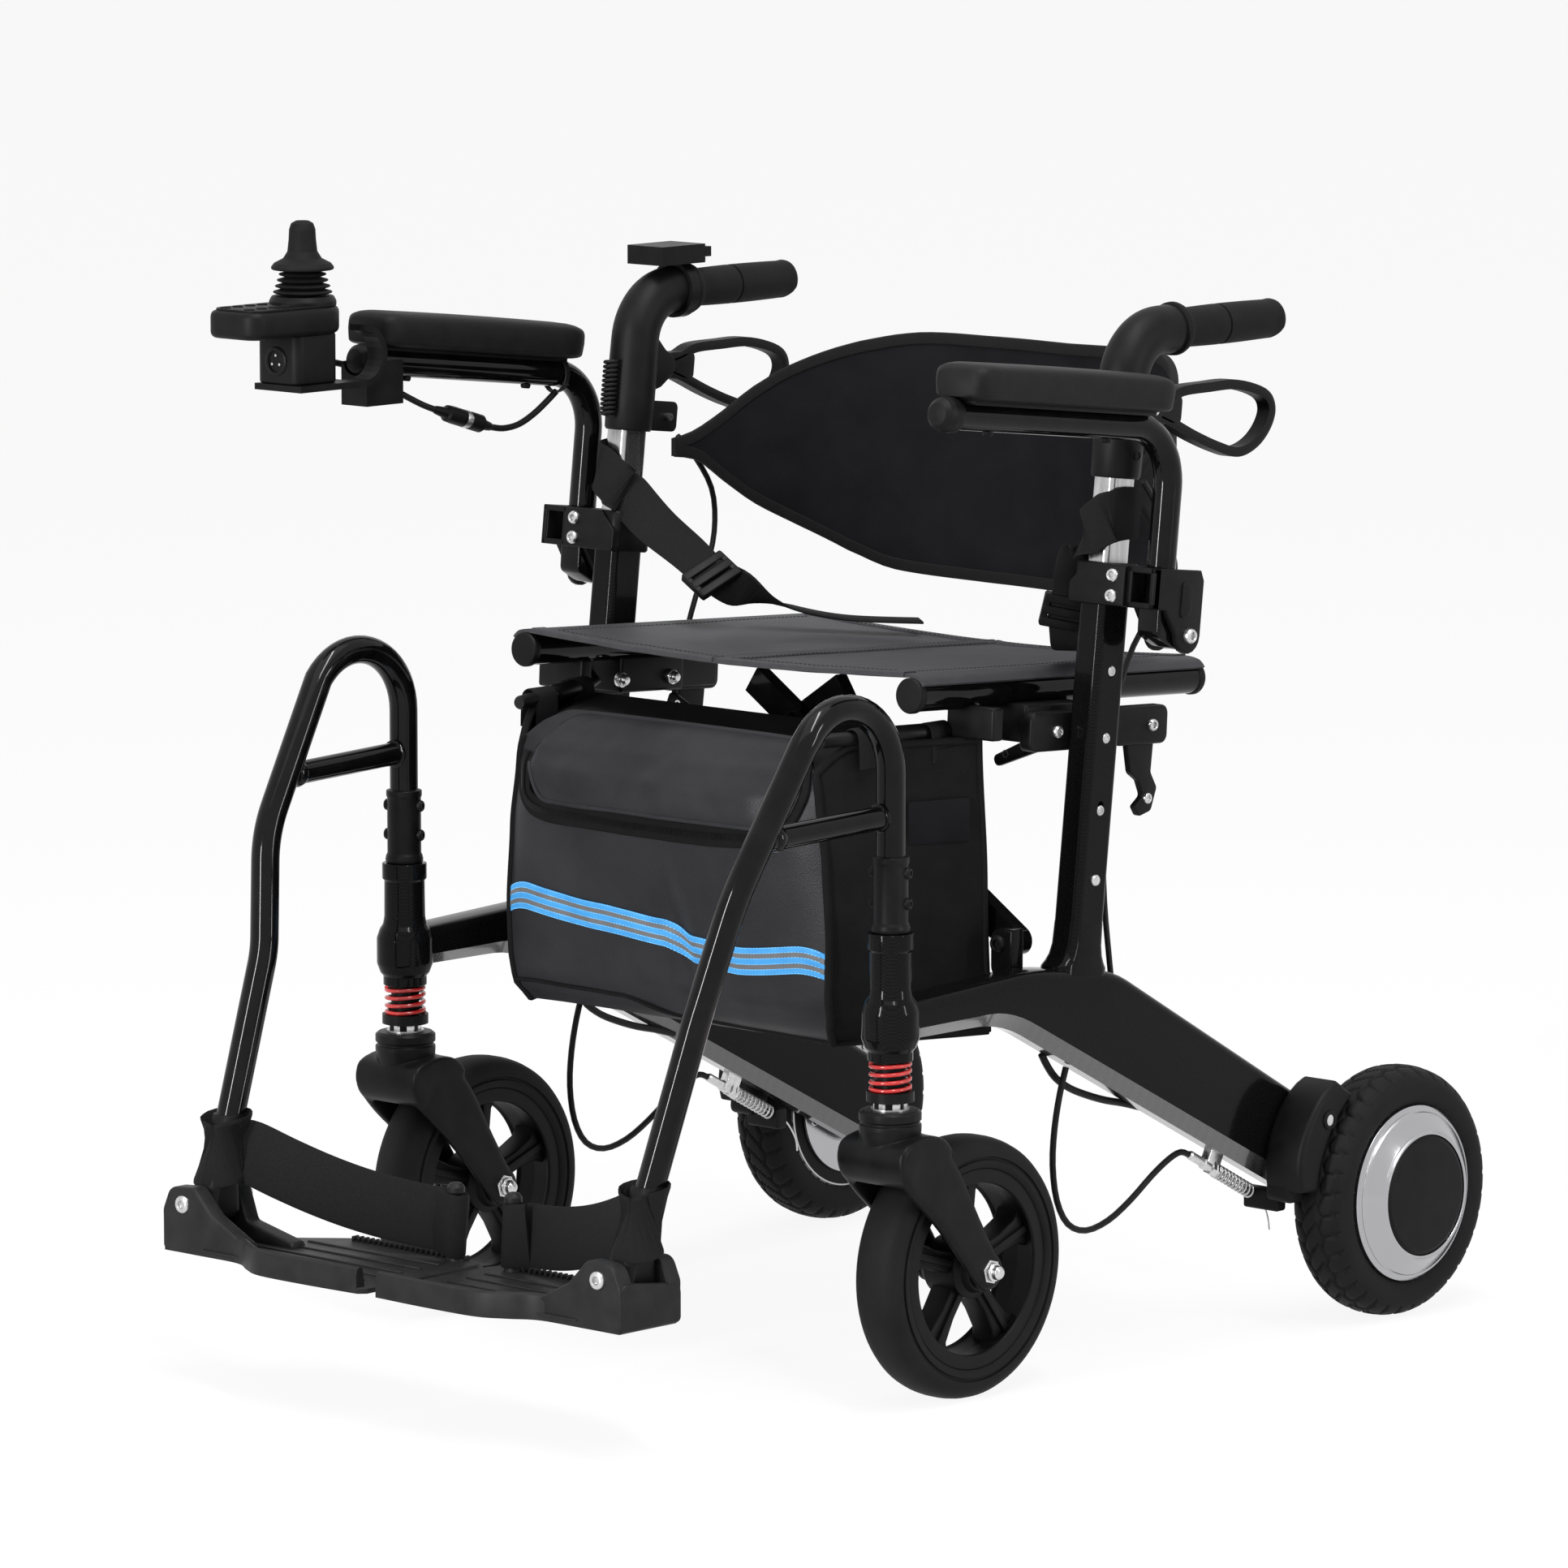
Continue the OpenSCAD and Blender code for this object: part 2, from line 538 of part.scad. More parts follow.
// Brake shoe ahead of the rear tyre, its return spring, anchor and cable
shoe_gap = 4.5;
shoe_y = wheelbase - 88;
shoe_z = rear_r + 73;
shoe_top = rear_r + 91;
shoe_out = rear_r + 39;
shoe_pin = 4;
shoe_in = arm_in + arm_w + free;
lug_y = wheelbase - 120;
module shoe_outline() intersection() {
  polygon(concat([[wheelbase, rear_r]], arc([wheelbase, rear_r], shoe_out, [180:-8:124])));
  translate([wheelbase - shoe_out, rear_r]) square([shoe_out, shoe_top - rear_r]);
}
module brake_shoe(s) color(plastic) place() on_side(s) {
  difference() {
    union() {
      slab(shoe_in, rear_w - 4) shoe_outline();
      translate([frame_half - 8, lug_y, rear_r - 4]) cube([shoe_in - frame_half + 9, 12, 18]);
    }
    translate([0, wheelbase, rear_r]) along_x(arm_in, arm_w + 3 * rear_w, rear_r + shoe_gap);
  }
  translate([0, shoe_y, shoe_z]) along_x(arm_in + 2, arm_w + 6, shoe_pin);
}
return_len = 48.5;
return_r = 5;
return_wire = 1.3;
anchor_back = 164.8;
anchor_drop = 12.3;
anchor_y = arm_end[0] - anchor_back * cos(low_angle) - anchor_drop * sin(low_angle);
anchor_z = arm_end[1] + anchor_back * sin(low_angle) - anchor_drop * cos(low_angle);
return_tilt = 90.5 + low_angle;
module brake_spring(s) color(steel) place() on_side(s) difference() {
  translate([frame_half, anchor_y, anchor_z]) rotate([-return_tilt, 0, 0]) {
    coil("brake spring", 12, return_r - return_wire / 2, 6, return_len, return_wire);
    translate([0, 0, -2]) cylinder(r = 6, h = 9, $fn = 6);
    translate([0, 0, -28]) cylinder(r = 3.5, h = 27);
    translate([-4, -24, -8]) cube([8, 27, 12]);
  }
  slab(arm_in - 1, arm_w + 2) arm_outline();
}
module brake_cable(s) color(rubber) place() on_side(s) sweep([for (p = brake_route) [frame_half, p[0], p[1]]],
  [1, 0, 0], cable_r);

// Leg rest: looped tube, strut, sleeve and hinge barrel
loop_z = loop_top - tube_r - loop_r;
leg_points = [[frame_half, -2 * loop_r, loop_z], [frame_half - 10, -160, 405], [foot_half + 9, -180, 318],
  [foot_half + 2, -226, 190], [foot_half, -244, foot_z]];
barrel_w = 37;
barrel_y = -242.5;
hinge_pin = 4;
module leg_rest(s) color(carbon) place() on_side(s) difference() {
  union() {
    translate([frame_half, 0, 322]) cylinder(r = tube_r, h = loop_z - 322);
    translate([frame_half, -loop_r, loop_z]) rotate([90, 0, 90]) rotate_extrude(angle = 180)
      translate([loop_r, 0]) circle(tube_r);
    for (i = [0:len(leg_points) - 2]) bar(leg_points[i], leg_points[i + 1], tube_r);
    for (i = [0:len(leg_points) - 2]) translate(leg_points[i]) sphere(tube_r + 0.2);
    bar([frame_half - 6, -136, 446], [frame_half, 0, 450], 9);
    translate([frame_half, 0, head_top + slide]) cylinder(r = tube_r + 2, h = 57);
    for (z = [20, 70]) translate([frame_half, 0, head_top + z - 14]) along_x(-15, 30, 3.5);
    translate([foot_half, barrel_y, foot_z]) along_y(-barrel_w / 2, barrel_w, 12);
  }
  translate([foot_half, barrel_y, foot_z]) along_y(-barrel_w, 2 * barrel_w, hinge_pin + run);
}

// Footplate: floor, front wall, hinge cheeks, hinge bolt and strap post
foot_low = foot_z - 38;
foot_tip = 4;
peg_x = 30;
peg_y = -172;
foot_out = foot_half + 22;
cheek_y = barrel_y - barrel_w / 2 - free;
cheek_front = 15;
cheek_rear = 12;
cheek_span = barrel_w + 2 * free;
module foot_outline(back) polygon([[foot_tip, -foot_reach], [118, -foot_reach], [150, -foot_reach + 24],
  [foot_out, -foot_reach + 24], [foot_out, -foot_reach + foot_d - 50], [150, -foot_reach + back],
  [foot_tip + 6, -foot_reach + back]]);
module footplate(s) color(plastic) place() on_side(s) {
  translate([0, 0, foot_low]) linear_extrude(6) foot_outline(foot_d);
  translate([0, 0, foot_low]) linear_extrude(foot_wall) intersection() {
    foot_outline(foot_d);
    difference() {
      translate([0, -foot_reach]) square([foot_out, 40]);
      translate([foot_tip, -foot_reach + 9]) square([122, 40]);
      translate([118, -foot_reach + 33]) square([foot_out, 40]);
    }
  }
  for (c = [[cheek_y - cheek_front, cheek_front], [cheek_y + cheek_span, cheek_rear]])
    translate([0, c[0], 0]) rotate([90, 0, 0]) mirror([0, 0, 1]) linear_extrude(c[1]) {
      polygon([[150, foot_low], [foot_out, foot_low], [foot_out, foot_z], [foot_half - 10, foot_z + 8],
        [150, foot_low + foot_wall]]);
      translate([foot_half, foot_z]) circle(13);
    }
  translate([foot_half, 0, foot_z])
    along_y(cheek_y - cheek_front - 2, cheek_span + cheek_front + cheek_rear + 3, hinge_pin);
  translate([foot_half, 0, foot_z]) along_y(cheek_y - cheek_front - 4, 4, 7);
  translate([peg_x, peg_y, foot_low]) cylinder(r = 5, h = 46);
}
strap_w = 48;
strap_t = 3;
module heel_strap(s) color(fabric) place() on_side(s) hull() {
  translate([foot_half - 13, -228, foot_z + 14]) cube([strap_t, 4, strap_w]);
  translate([peg_x + 6, peg_y - 3, foot_low + 12]) cube([strap_t, 4, strap_w - 5]);
}

// Cross brace bar: lower eye, centre eye or pin, and stub
module brace(s) color(carbon) place() translate([0, s > 0 ? brace_y : brace_y + brace_t + slide, 0]) {
  on_side(s) translate([brace_x, 0, brace_low]) rotate([0, 180 + brace_angle, 0]) mirror([0, 0, 1])
    difference() {
      union() {
        translate([0, -brace_t, -brace_h / 2]) cube([brace_len + brace_stub, brace_t, brace_h]);
        translate([0, -brace_t, 0]) along_y(0, brace_t, brace_h / 2);
      }
      along_y(-brace_t - 1, brace_t + 2, brace_pin + run);
      if (s > 0) translate([brace_len, 0, 0]) along_y(-brace_t - 1, brace_t + 2, brace_pin + 1 + run);
    }
  if (s < 0) translate([0, 0, brace_mid]) along_y(-2 * brace_t - slide - 5, 2 * brace_t, brace_pin + 1);
}

// Soft pieces: sling seat, belt, back band and bag
module seat() color(fabric) place() translate([0, 83, rail_z]) rotate([-rail_slope, 0, 0])
  translate([-rail_half - 12, 2, rail_r + run]) cube([2 * rail_half + 24, rail_len - 4, seat_t]);
module belt_half() {
  leaned() translate([0, 0, clamp_low + clamp_h + 8]) linear_extrude(42) difference() {
    rounded(tube_w + 7, tube_d + 7, 6);
    rounded(tube_w + 2, tube_d + 2, 5);
  }
  hull() {
    translate([frame_half - 16, 240, 632]) cube([4, 22, 30]);
    translate([150, 240, 556]) cube([3, 30, 4]);
  }
}
module seat_belt() color(fabric) place() {
  belt_half();
  mirror([1, 0, 0]) belt_half();
}
band_y = 264;
band_z = 564;
band_end_low = 672;
band_end_high = 712;
band_top_half = 131;
band_low_half = 147;
module backrest() color(fabric) place() intersection() {
  translate([0, band_y, band_z]) rotate([0, 0, 4]) rotate_extrude(angle = 172, $fn = 180)
    translate([band_r - band_t, 0]) square([band_t, band_h]);
  translate([0, band_y + 300, 0]) rotate([90, 0, 0]) linear_extrude(300) for (s = [0, 1]) mirror([s, 0])
    polygon([[-eps, band_z], [-eps, band_z + band_h], [band_top_half, band_z + band_h],
      [band_r + 4, band_end_high], [band_r + 4, band_end_low], [band_low_half, band_z]]);
}
bag_low = 262;
bag_front = [148, 39];
bag_back = [202, 150];
module bag() color(fabric) place() translate([0, 0, bag_low]) linear_extrude(bag_h) hull() {
  for (s = [-1, 1]) translate([s * bag_front[0], bag_front[1]]) circle(14, $fn = 32);
  for (s = [-1, 1]) translate([s * bag_back[0], bag_back[1]]) circle(10, $fn = 32);
}

// Joystick controller with its mount
module controller() color(plastic) place() translate([stick_x, stick_y, 0]) difference() {
  union() {
    translate([0, 0, shell_low]) linear_extrude(shell_t) {
      circle(shell_r);
      translate([0, -shell_len / 2]) rounded(2 * shell_r, shell_len, 12);
      translate([-shell_r, -shell_len + 20]) square([2 * shell_r, shell_len - 20]);
    }
    translate([0, -6, shell_low - 38]) linear_extrude(38 + eps) rounded(46, 46, 8);
    translate([0, 0, shell_low + shell_t - eps]) cylinder(r = shell_r - 2, h = collar_h);
  }
  translate([0, 0, stick_pivot - 8]) cylinder(r = 10, h = 60);
  translate([0, -21, shell_low - 20]) along_y(-10, 5, 9);
}
mount_t = 5;
hook_r = 24;
module controller_mount() color(carbon) place() {
  low = shell_low - 38 - mount_t;
  hook = [stick_y + 40, low + hook_r];
  translate([stick_x - 23, stick_y - 30, low]) cube([23 + shell_r, 62, mount_t]);
  slab(stick_x + 11, shell_r - 11) polygon(concat([[stick_y + 20, low]], arc(hook, hook_r, [-90:15:90]),
    arc(hook, hook_r - mount_t, [90:-15:-90]), [[stick_y + 20, low + mount_t]]));
  difference() {
    translate([stick_x - 16, -4, 717]) cube([28, 40, 34]);
    place_arm() along_y(-400, 500, tube_r + 1.2);
  }
}
module place_arm() mirror([1, 0, 0]) leaned() translate([arm_half - frame_half, 0, arm_rise]) children();
module joystick() color(rubber) place() translate([stick_x, stick_y, 0]) {
  translate([0, 0, stick_pivot]) sphere(4);
  translate([0, 0, stick_pivot]) cylinder(r = 3, h = 36);
  rotate_extrude() polygon([[0, 826], [24, 826], [24, 829], [16, 835], [11, 842], [10, 852], [9.5, 860],
    [6, 864], [0, 865]]);
}
boot_ribs = 3;
module joystick_boot() color(rubber) place() translate([stick_x, stick_y, 0]) rotate_extrude() difference() {
  union() {
    translate([0, shell_low + shell_t + collar_h + slide]) square([16, 826 - shell_low - shell_t - collar_h
      - 2 * slide]);
    for (i = [0:boot_ribs - 1]) polygon([[15, 808 + i * 6], [23 - 2 * i, 810.5 + i * 6], [15, 813 + i * 6]]);
  }
  translate([0, 800]) square([6, 30]);
}
module joystick_lead() color(rubber) place() {
  sweep(lead_front, [1, 0, 0], lead_r);
  sweep(lead_back, [1, 0, 0], lead_r);
  bar(lead_front[len(lead_front) - 1], lead_back[0], 7);
}

// Attendant control on the right handle, and its curly cord
box_y = 274;
box_z = 811.5;
module attendant_box() color(plastic) place() {
  translate([-frame_half - 19, box_y, box_z]) cube([38, 50, 15]);
  translate([-frame_half - 8, box_y + 50 - eps, box_z]) cube([16, 12, 2.5]);
  translate([-frame_half, box_y + 56, box_z]) cylinder(r = 2.5, h = 10);
  mirror([1, 0, 0]) leaned() on_grip() difference() {
    translate([0, 0, 1]) cylinder(r = housing_r + 4, h = flange_gap - 3);
    cylinder(r = collar_r, h = 30);
  }
}
module attendant_lever() color(plastic) place() translate([-frame_half, box_y + 56, box_z + 2.8])
  difference() {
    union() {
      cylinder(r = 5, h = 8);
      translate([-5, 0, 0]) cube([10, 16, 8]);
    }
    translate([0, 0, -1]) cylinder(r = 2.5 + run, h = 12);
  }
module curly_cord() color(rubber) place() mirror([1, 0, 0]) leaned()
  translate([0, elbow_y - housing_r - curl_r - curl_wire / 2 - slide, 0])
    coil("curly cord", curl_turns, curl_r, house_low + 8.3, curl_h, curl_wire);

for (s = [1, -1]) {
  name = s > 0 ? "left_" : "right_";
  side_frame(s);
  column(s);
  seat_rail(s);
  column_clamp(s);
  handle_tube(s);
  handle_housing(s);
  grip(s);
  brake_lever(s);
  armrest_tube(s);
  armrest_pad(s);
  suspension_spring(s);
  caster_stem(s);
  caster_fork(s);
  caster_tyre(s);
  caster_rim(s);
  rear_tyre(s);
  rear_hub(s);
  brake_shoe(s);
  brake_spring(s);
  brake_cable(s);
  leg_rest(s);
  footplate(s);
  heel_strap(s);
  brace(s);
}
seat();
seat_belt();
backrest();
bag();
controller();
controller_mount();
joystick();
joystick_boot();
joystick_lead();
curly_cord();
attendant_box();
attendant_lever();
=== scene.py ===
"""Powered rollator transport chair: the visible pieces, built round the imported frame.

Sizes are millimetres in the part's own terms: x from the centre, y behind the head tubes and z above
the floor, or along the leaned column. Tubes, plates, turned shapes and the like add to one mesh in the
making, until piece() makes an object of it.
"""
import math

import bmesh
import bpy
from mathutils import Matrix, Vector, noise


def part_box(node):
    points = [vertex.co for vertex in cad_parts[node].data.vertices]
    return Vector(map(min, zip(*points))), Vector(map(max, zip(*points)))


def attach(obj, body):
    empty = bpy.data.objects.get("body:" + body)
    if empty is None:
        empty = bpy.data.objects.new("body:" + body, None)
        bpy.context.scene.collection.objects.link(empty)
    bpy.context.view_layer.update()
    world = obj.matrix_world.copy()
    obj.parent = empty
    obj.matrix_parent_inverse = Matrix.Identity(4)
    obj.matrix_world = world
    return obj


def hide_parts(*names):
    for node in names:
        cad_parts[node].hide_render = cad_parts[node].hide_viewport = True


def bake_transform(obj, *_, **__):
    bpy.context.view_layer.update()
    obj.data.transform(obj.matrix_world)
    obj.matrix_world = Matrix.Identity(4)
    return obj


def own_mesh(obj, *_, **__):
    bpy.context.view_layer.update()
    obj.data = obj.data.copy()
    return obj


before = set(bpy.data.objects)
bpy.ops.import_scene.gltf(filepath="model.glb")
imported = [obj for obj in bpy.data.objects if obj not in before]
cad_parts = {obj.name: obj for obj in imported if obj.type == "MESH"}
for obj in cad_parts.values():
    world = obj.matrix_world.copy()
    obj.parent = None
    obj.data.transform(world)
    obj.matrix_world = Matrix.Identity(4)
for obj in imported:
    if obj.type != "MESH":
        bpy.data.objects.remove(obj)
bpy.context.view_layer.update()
scene = bpy.context.scene

MM = 0.001
TAU = 2 * math.pi
X, Y, Z = Vector((1, 0, 0)), Vector((0, 1, 0)), Vector((0, 0, 1))


def middle(node):
    """The middle of a node's box, in mm."""
    low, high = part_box(node)
    return [(a + b) / 2 / MM for a, b in zip(low, high)]


# Places read from the frame
HEAD_X, HEAD_Y, _ = middle("left_caster_stem")
REAR_X, REAR_Y, REAR_R = middle("left_rear_tyre")
_, CASTER_Y, CASTER_R = middle("left_caster_tyre")
REAR_Y -= HEAD_Y
CASTER_Y -= HEAD_Y

# As in the part's source: the column, the handle, the armrest, the joystick, the seat rail, the back band
# and the footplate's pivot
COLUMN_X, POST_Y, POST_Z = 254, 210, 312
LEAN = math.radians(6.66)
HOUSE_LOW, ELBOW_Z, ELBOW_Y, ELBOW_R = 372, 444, 1, 42
GRIP_R, GRIP_LEN, FLANGE_GAP = 15.5, 122, 13
LEVER_Y, LEVER_Z = 27, 425
YOKE_Y, YOKE_Z, YOKE_R = 24, 258, 14
ARM_X, ARM_RISE, ARM_BEND, ARM_POST = 302, 413, 45, 6
TUBE_R = 11
STICK_X, STICK_Y = -300, -61
RAIL_X, RAIL_Y, RAIL_Z, RAIL_LEN, RAIL_R = 201, 83, 527, 324, 12.5
RAIL_SLOPE = math.radians(3.1)
BAND_Y, BAND_R = 264, 236
FOOT_X, FOOT_Y, FOOT_Z = 217, -244, 136


def at(x, y, z):
    """A point of the part in the row frame, in metres."""
    return Vector((x, y + HEAD_Y, z)) * MM


def leaned(x, y, z):
    """A point given along the leaned column: y behind its middle line, z above its foot."""
    c, s = math.cos(LEAN), math.sin(LEAN)
    return at(x, POST_Y + y * c + z * s, POST_Z + z * c - y * s)


def on_rail(x, y, z):
    """A point given along the sloping seat rail: y from its front end, z above its middle line."""
    c, s = math.cos(RAIL_SLOPE), math.sin(RAIL_SLOPE)
    return at(x, RAIL_Y + y * c + z * s, RAIL_Z - y * s + z * c)


class Side:
    """One side of the chair: its name, its sign along x, and the places and pieces on it."""

    def __init__(self, name, s):
        self.name, self.s, self.out = name, s, X * s

    def at(self, x, y, z):
        return at(self.s * x, y, z)

    def leaned(self, x, y, z):
        return leaned(self.s * x, y, z)

    def on_rail(self, x, y, z):
        return on_rail(self.s * x, y, z)

    def node(self, name):
        return self.name + "_" + name

    def piece(self, name, mat, body, replaces=None, **options):
        return piece(self.node(name), mat, body and self.node(body), replaces and self.node(replaces), **options)


SIDES = LEFT, RIGHT = Side("left", 1), Side("right", -1)

# Materials

slot_of = {}
# Each kind's node, its output and its settings
TEXTURES = {"noise": ("ShaderNodeTexNoise", "Fac", {"Detail": 3.0}), "cells": ("ShaderNodeTexVoronoi", "Distance", {}),
            "weave": ("ShaderNodeTexChecker", "Fac", {}), "ribs": ("ShaderNodeTexWave", "Fac", {"Distortion": 0.6}),
            "turned": ("ShaderNodeTexWave", "Fac", {"Distortion": 0.3})}


def links_for(mat):
    """A material's cleared node tree, with a shader linked to its output, and object coordinates."""
    mat.use_nodes = True
    tree = mat.node_tree
    tree.nodes.clear()
    out = tree.nodes.new("ShaderNodeOutputMaterial")
    shader = tree.nodes.new("ShaderNodeBsdfPrincipled")
    tree.links.new(shader.outputs[0], out.inputs[0])
    coords = tree.nodes.new("ShaderNodeTexCoord")
    return tree, shader, coords.outputs["Object"]


def linked(tree, kind, source, socket):
    """A new node, fed from a source."""
    node = tree.nodes.new(kind)
    tree.links.new(source, node.inputs[socket])
    return node


def mapped(tree, where, setting, value):
    """Coordinates that are moved or scaled."""
    mapping = linked(tree, "ShaderNodeMapping", where, "Vector")
    mapping.inputs[setting].default_value = value
    return mapping.outputs[0]


def texture(tree, kind, scale, where, stretch):
    """A grey texture's output: noise, cells, weave, ribs, or rings turned about the rear axle."""
    if stretch:
        where = mapped(tree, where, "Scale", stretch)
    if kind == "turned":
        where = mapped(tree, where, "Location", -at(0, REAR_Y, REAR_R))
    node, output, settings = TEXTURES[kind]
    tex = linked(tree, node, where, "Vector")
    tex.inputs["Scale"].default_value = scale
    for socket, value in settings.items():
        tex.inputs[socket].default_value = value
    if kind == "ribs":
        tex.bands_direction = "DIAGONAL"
    elif kind == "turned":
        tex.wave_type = "RINGS"
        tex.rings_direction = "X"
    return tex.outputs[output]


def material(name, slot, tones, rough, bump, vary=("noise", 60), tint=1.04, distance=0.0004, stretch=None,
             specular=0.5, **sockets):
    """A two-tone surface; slot, its finish or None where no new piece wears it alone, is noted in slot_of.

    vary is the kind and scale of the texture that its colour and roughness follow, and bump the kind, scale
    and strength of its grain. A tone is a colour, or a number for a grey that tint makes a little blue.
    """
    mat = bpy.data.materials.new(name)
    slot_of[mat.name] = slot
    tree, shader, where = links_for(mat)
    tone = texture(tree, *vary, where, stretch)
    ramp = linked(tree, "ShaderNodeValToRGB", tone, 0)
    for stop, place, v in zip(ramp.color_ramp.elements, (0.3, 0.7), tones):
        stop.position = place
        stop.color = (*v, 1) if isinstance(v, tuple) else (v, v, v * tint, 1)
    tree.links.new(ramp.outputs[0], shader.inputs["Base Color"])
    span = linked(tree, "ShaderNodeMapRange", tone, "Value")
    span.inputs["To Min"].default_value, span.inputs["To Max"].default_value = rough
    tree.links.new(span.outputs[0], shader.inputs["Roughness"])
    kind, scale, strength = bump
    relief = linked(tree, "ShaderNodeBump", texture(tree, kind, scale, where, stretch), "Height")
    relief.inputs["Strength"].default_value = strength
    relief.inputs["Distance"].default_value = distance
    tree.links.new(relief.outputs[0], shader.inputs["Normal"])
    shader.inputs["Specular IOR Level"].default_value = specular
    for socket, value in sockets.items():
        shader.inputs[socket.replace("_", " ")].default_value = value
    return mat


CARBON = material("carbon_gloss", "carbon", (0.002, 0.0055), (0.11, 0.16), ("noise", 30, 0.03), ("weave", 760),
                  specular=0.05, Coat_Weight=0.08, Coat_Roughness=0.04)
UNDER = material("carbon_lacquer", None, (0.02, 0.035), (0.16, 0.24), ("noise", 30, 0.04), ("weave", 420),
                 Coat_Weight=1.0, Coat_Roughness=0.06)
PAINT = material("gloss_black_paint", "black_paint", (0.0015, 0.0035), (0.08, 0.13), ("noise", 140, 0.02),
                 specular=0.08, Coat_Weight=0.18, Coat_Roughness=0.03)
SATIN = material("satin_black_paint", "black_paint", (0.0035, 0.0065), (0.34, 0.44), ("noise", 1200, 0.12),
                 specular=0.1)
PLASTIC = material("moulded_black", "black_plastic", (0.0025, 0.0045), (0.42, 0.56), ("noise", 1600, 0.22),
                   specular=0.12)
PLASTIC_DARK = material("moulded_black_fine", "black_plastic", (0.003, 0.0055), (0.36, 0.48), ("noise", 2200, 0.15),
                        specular=0.1)
PLATE = material("moulded_charcoal", "grey_plastic", (0.008, 0.014), (0.4, 0.55), ("noise", 1500, 0.2), specular=0.14)
RUBBER = material("grip_rubber", "grip_rubber", (0.0045, 0.008), (0.6, 0.75), ("cells", 1300, 0.25), specular=0.1)
TYRE = material("tyre_rubber", "tyre_rubber", (0.004, 0.0075), (0.55, 0.75), ("noise", 700, 0.2), ("noise", 40),
                specular=0.12)
FOAM = material("armrest_skin", "pad_foam", (0.003, 0.0055), (0.48, 0.6), ("cells", 1100, 0.35), distance=0.0005,
                specular=0.14)
CABLE = material("cable_jacket", "cable_rubber", (0.005, 0.008), (0.35, 0.5), ("noise", 1500, 0.1), specular=0.12)
ALU = material("satin_aluminium", None, (0.4, 0.56), (0.18, 0.3), ("noise", 400, 0.05), ("noise", 300),
               tint=1.0, stretch=(1, 1, 0.02), Metallic=1.0)
CHROME = material("brushed_chrome", "hub_metal", (0.36, 0.47), (0.1, 0.2), ("turned", 640, 0.05), ("turned", 640),
                  tint=1.03, Metallic=1.0, Anisotropic=0.75)
spun = CHROME.node_tree.nodes.new("ShaderNodeTangent")
spun.direction_type = "RADIAL"
spun.axis = "X"
CHROME.node_tree.links.new(spun.outputs[0], CHROME.node_tree.nodes["Principled BSDF"].inputs["Tangent"])
STEEL = material("bright_steel", "steel", (0.5, 0.68), (0.22, 0.34), ("noise", 900, 0.06), ("noise", 200), tint=1.0,
                 Metallic=1.0)
NICKEL = material("nickel", "steel", (0.42, 0.58), (0.28, 0.4), ("noise", 900, 0.08), ("noise", 120), tint=1.0,
                  Metallic=1.0)
RED = material("red_enamel", "red_spring", ((0.36, 0.01, 0.01), (0.5, 0.018, 0.016)), (0.2, 0.32), ("noise", 500, 0.06),
               Coat_Weight=0.4)
LEATHER = material("coated_cloth", "leatherette", (0.033, 0.041), (0.5, 0.64), ("cells", 900, 0.3), ("noise", 90),
                   tint=1.1, specular=0.16)
BACK_CLOTH = material("back_cloth", "leatherette", (0.0035, 0.0065), (0.66, 0.8), ("weave", 1600, 0.2), ("noise", 30),
                      tint=1.2, specular=0.08)
BAG_SKIN = material("bag_leatherette", "leatherette", (0.01, 0.018), (0.34, 0.5), ("cells", 800, 0.28), ("noise", 14),
                    tint=1.15, specular=0.16)
BAG_CLOTH = material("bag_side_cloth", "leatherette", (0.0035, 0.006), (0.75, 0.9), ("weave", 1400, 0.35),
                     ("noise", 40), specular=0.1)
WEBBING = material("webbing", "webbing", (0.006, 0.011), (0.7, 0.85), ("ribs", 420, 0.5), ("ribs", 420),
                   distance=0.0006, specular=0.1)
THREAD = material("thread", "leatherette", (0.02, 0.035), (0.7, 0.8), ("noise", 2500, 0.3), specular=0.2)
PALE_THREAD = material("pale_thread", "leatherette", ((0.1, 0.42, 0.8), (0.2, 0.55, 0.9)), (0.6, 0.7),
                       ("noise", 2500, 0.3))
BLUE = material("blue_tape", "leatherette", ((0.035, 0.24, 0.54), (0.055, 0.31, 0.64)), (0.5, 0.62),
                ("weave", 1800, 0.2), specular=0.3)
SILVER_TAPE = material("grey_tape", "leatherette", (0.085, 0.12), (0.38, 0.5), ("weave", 2400, 0.3))

# Mesh building

# The mesh in the making: the functions below add to it, and piece() takes it and starts the next
work = bmesh.new()


def piece(name, mat, body, replaces=None, sharp=35, hold=None, slot=None):
    """Makes an object of the mesh in the making, smooth apart from sharp edges, and ties it to its body."""
    global work
    bmesh.ops.recalc_face_normals(work, faces=work.faces)
    mesh = bpy.data.meshes.new(name)
    work.to_mesh(mesh)
    work.free()
    work = bmesh.new()
    for face in mesh.polygons:
        face.use_smooth = True
    mesh.set_sharp_from_angle(angle=math.radians(sharp))
    mesh.materials.append(mat)
    obj = bpy.data.objects.new(name, mesh)
    scene.collection.objects.link(obj)
    if body:
        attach(obj, body)
    if hold:
        hold(obj)
    if replaces:
        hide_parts(replaces)
    slot or slot_of[mat.name]
    return obj


def blended(a, b, start, end):
    """A hold that bakes a piece's placing into its mesh; the bodies a and b and the two points go unused."""
    return lambda obj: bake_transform(obj, a, b, start=tuple(start), end=tuple(end))


def squashed(joint, axis, anchor, keep):
    """A hold that gives a piece its own copy of its mesh; the joint, axis, anchor and keep go unused."""
    return lambda obj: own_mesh(obj, joint, axis=axis, anchor=tuple(anchor), keep=keep)


def each(value, i):
    """A value given once for all, or one for each."""
    return value[i] if isinstance(value, (list, tuple)) else value


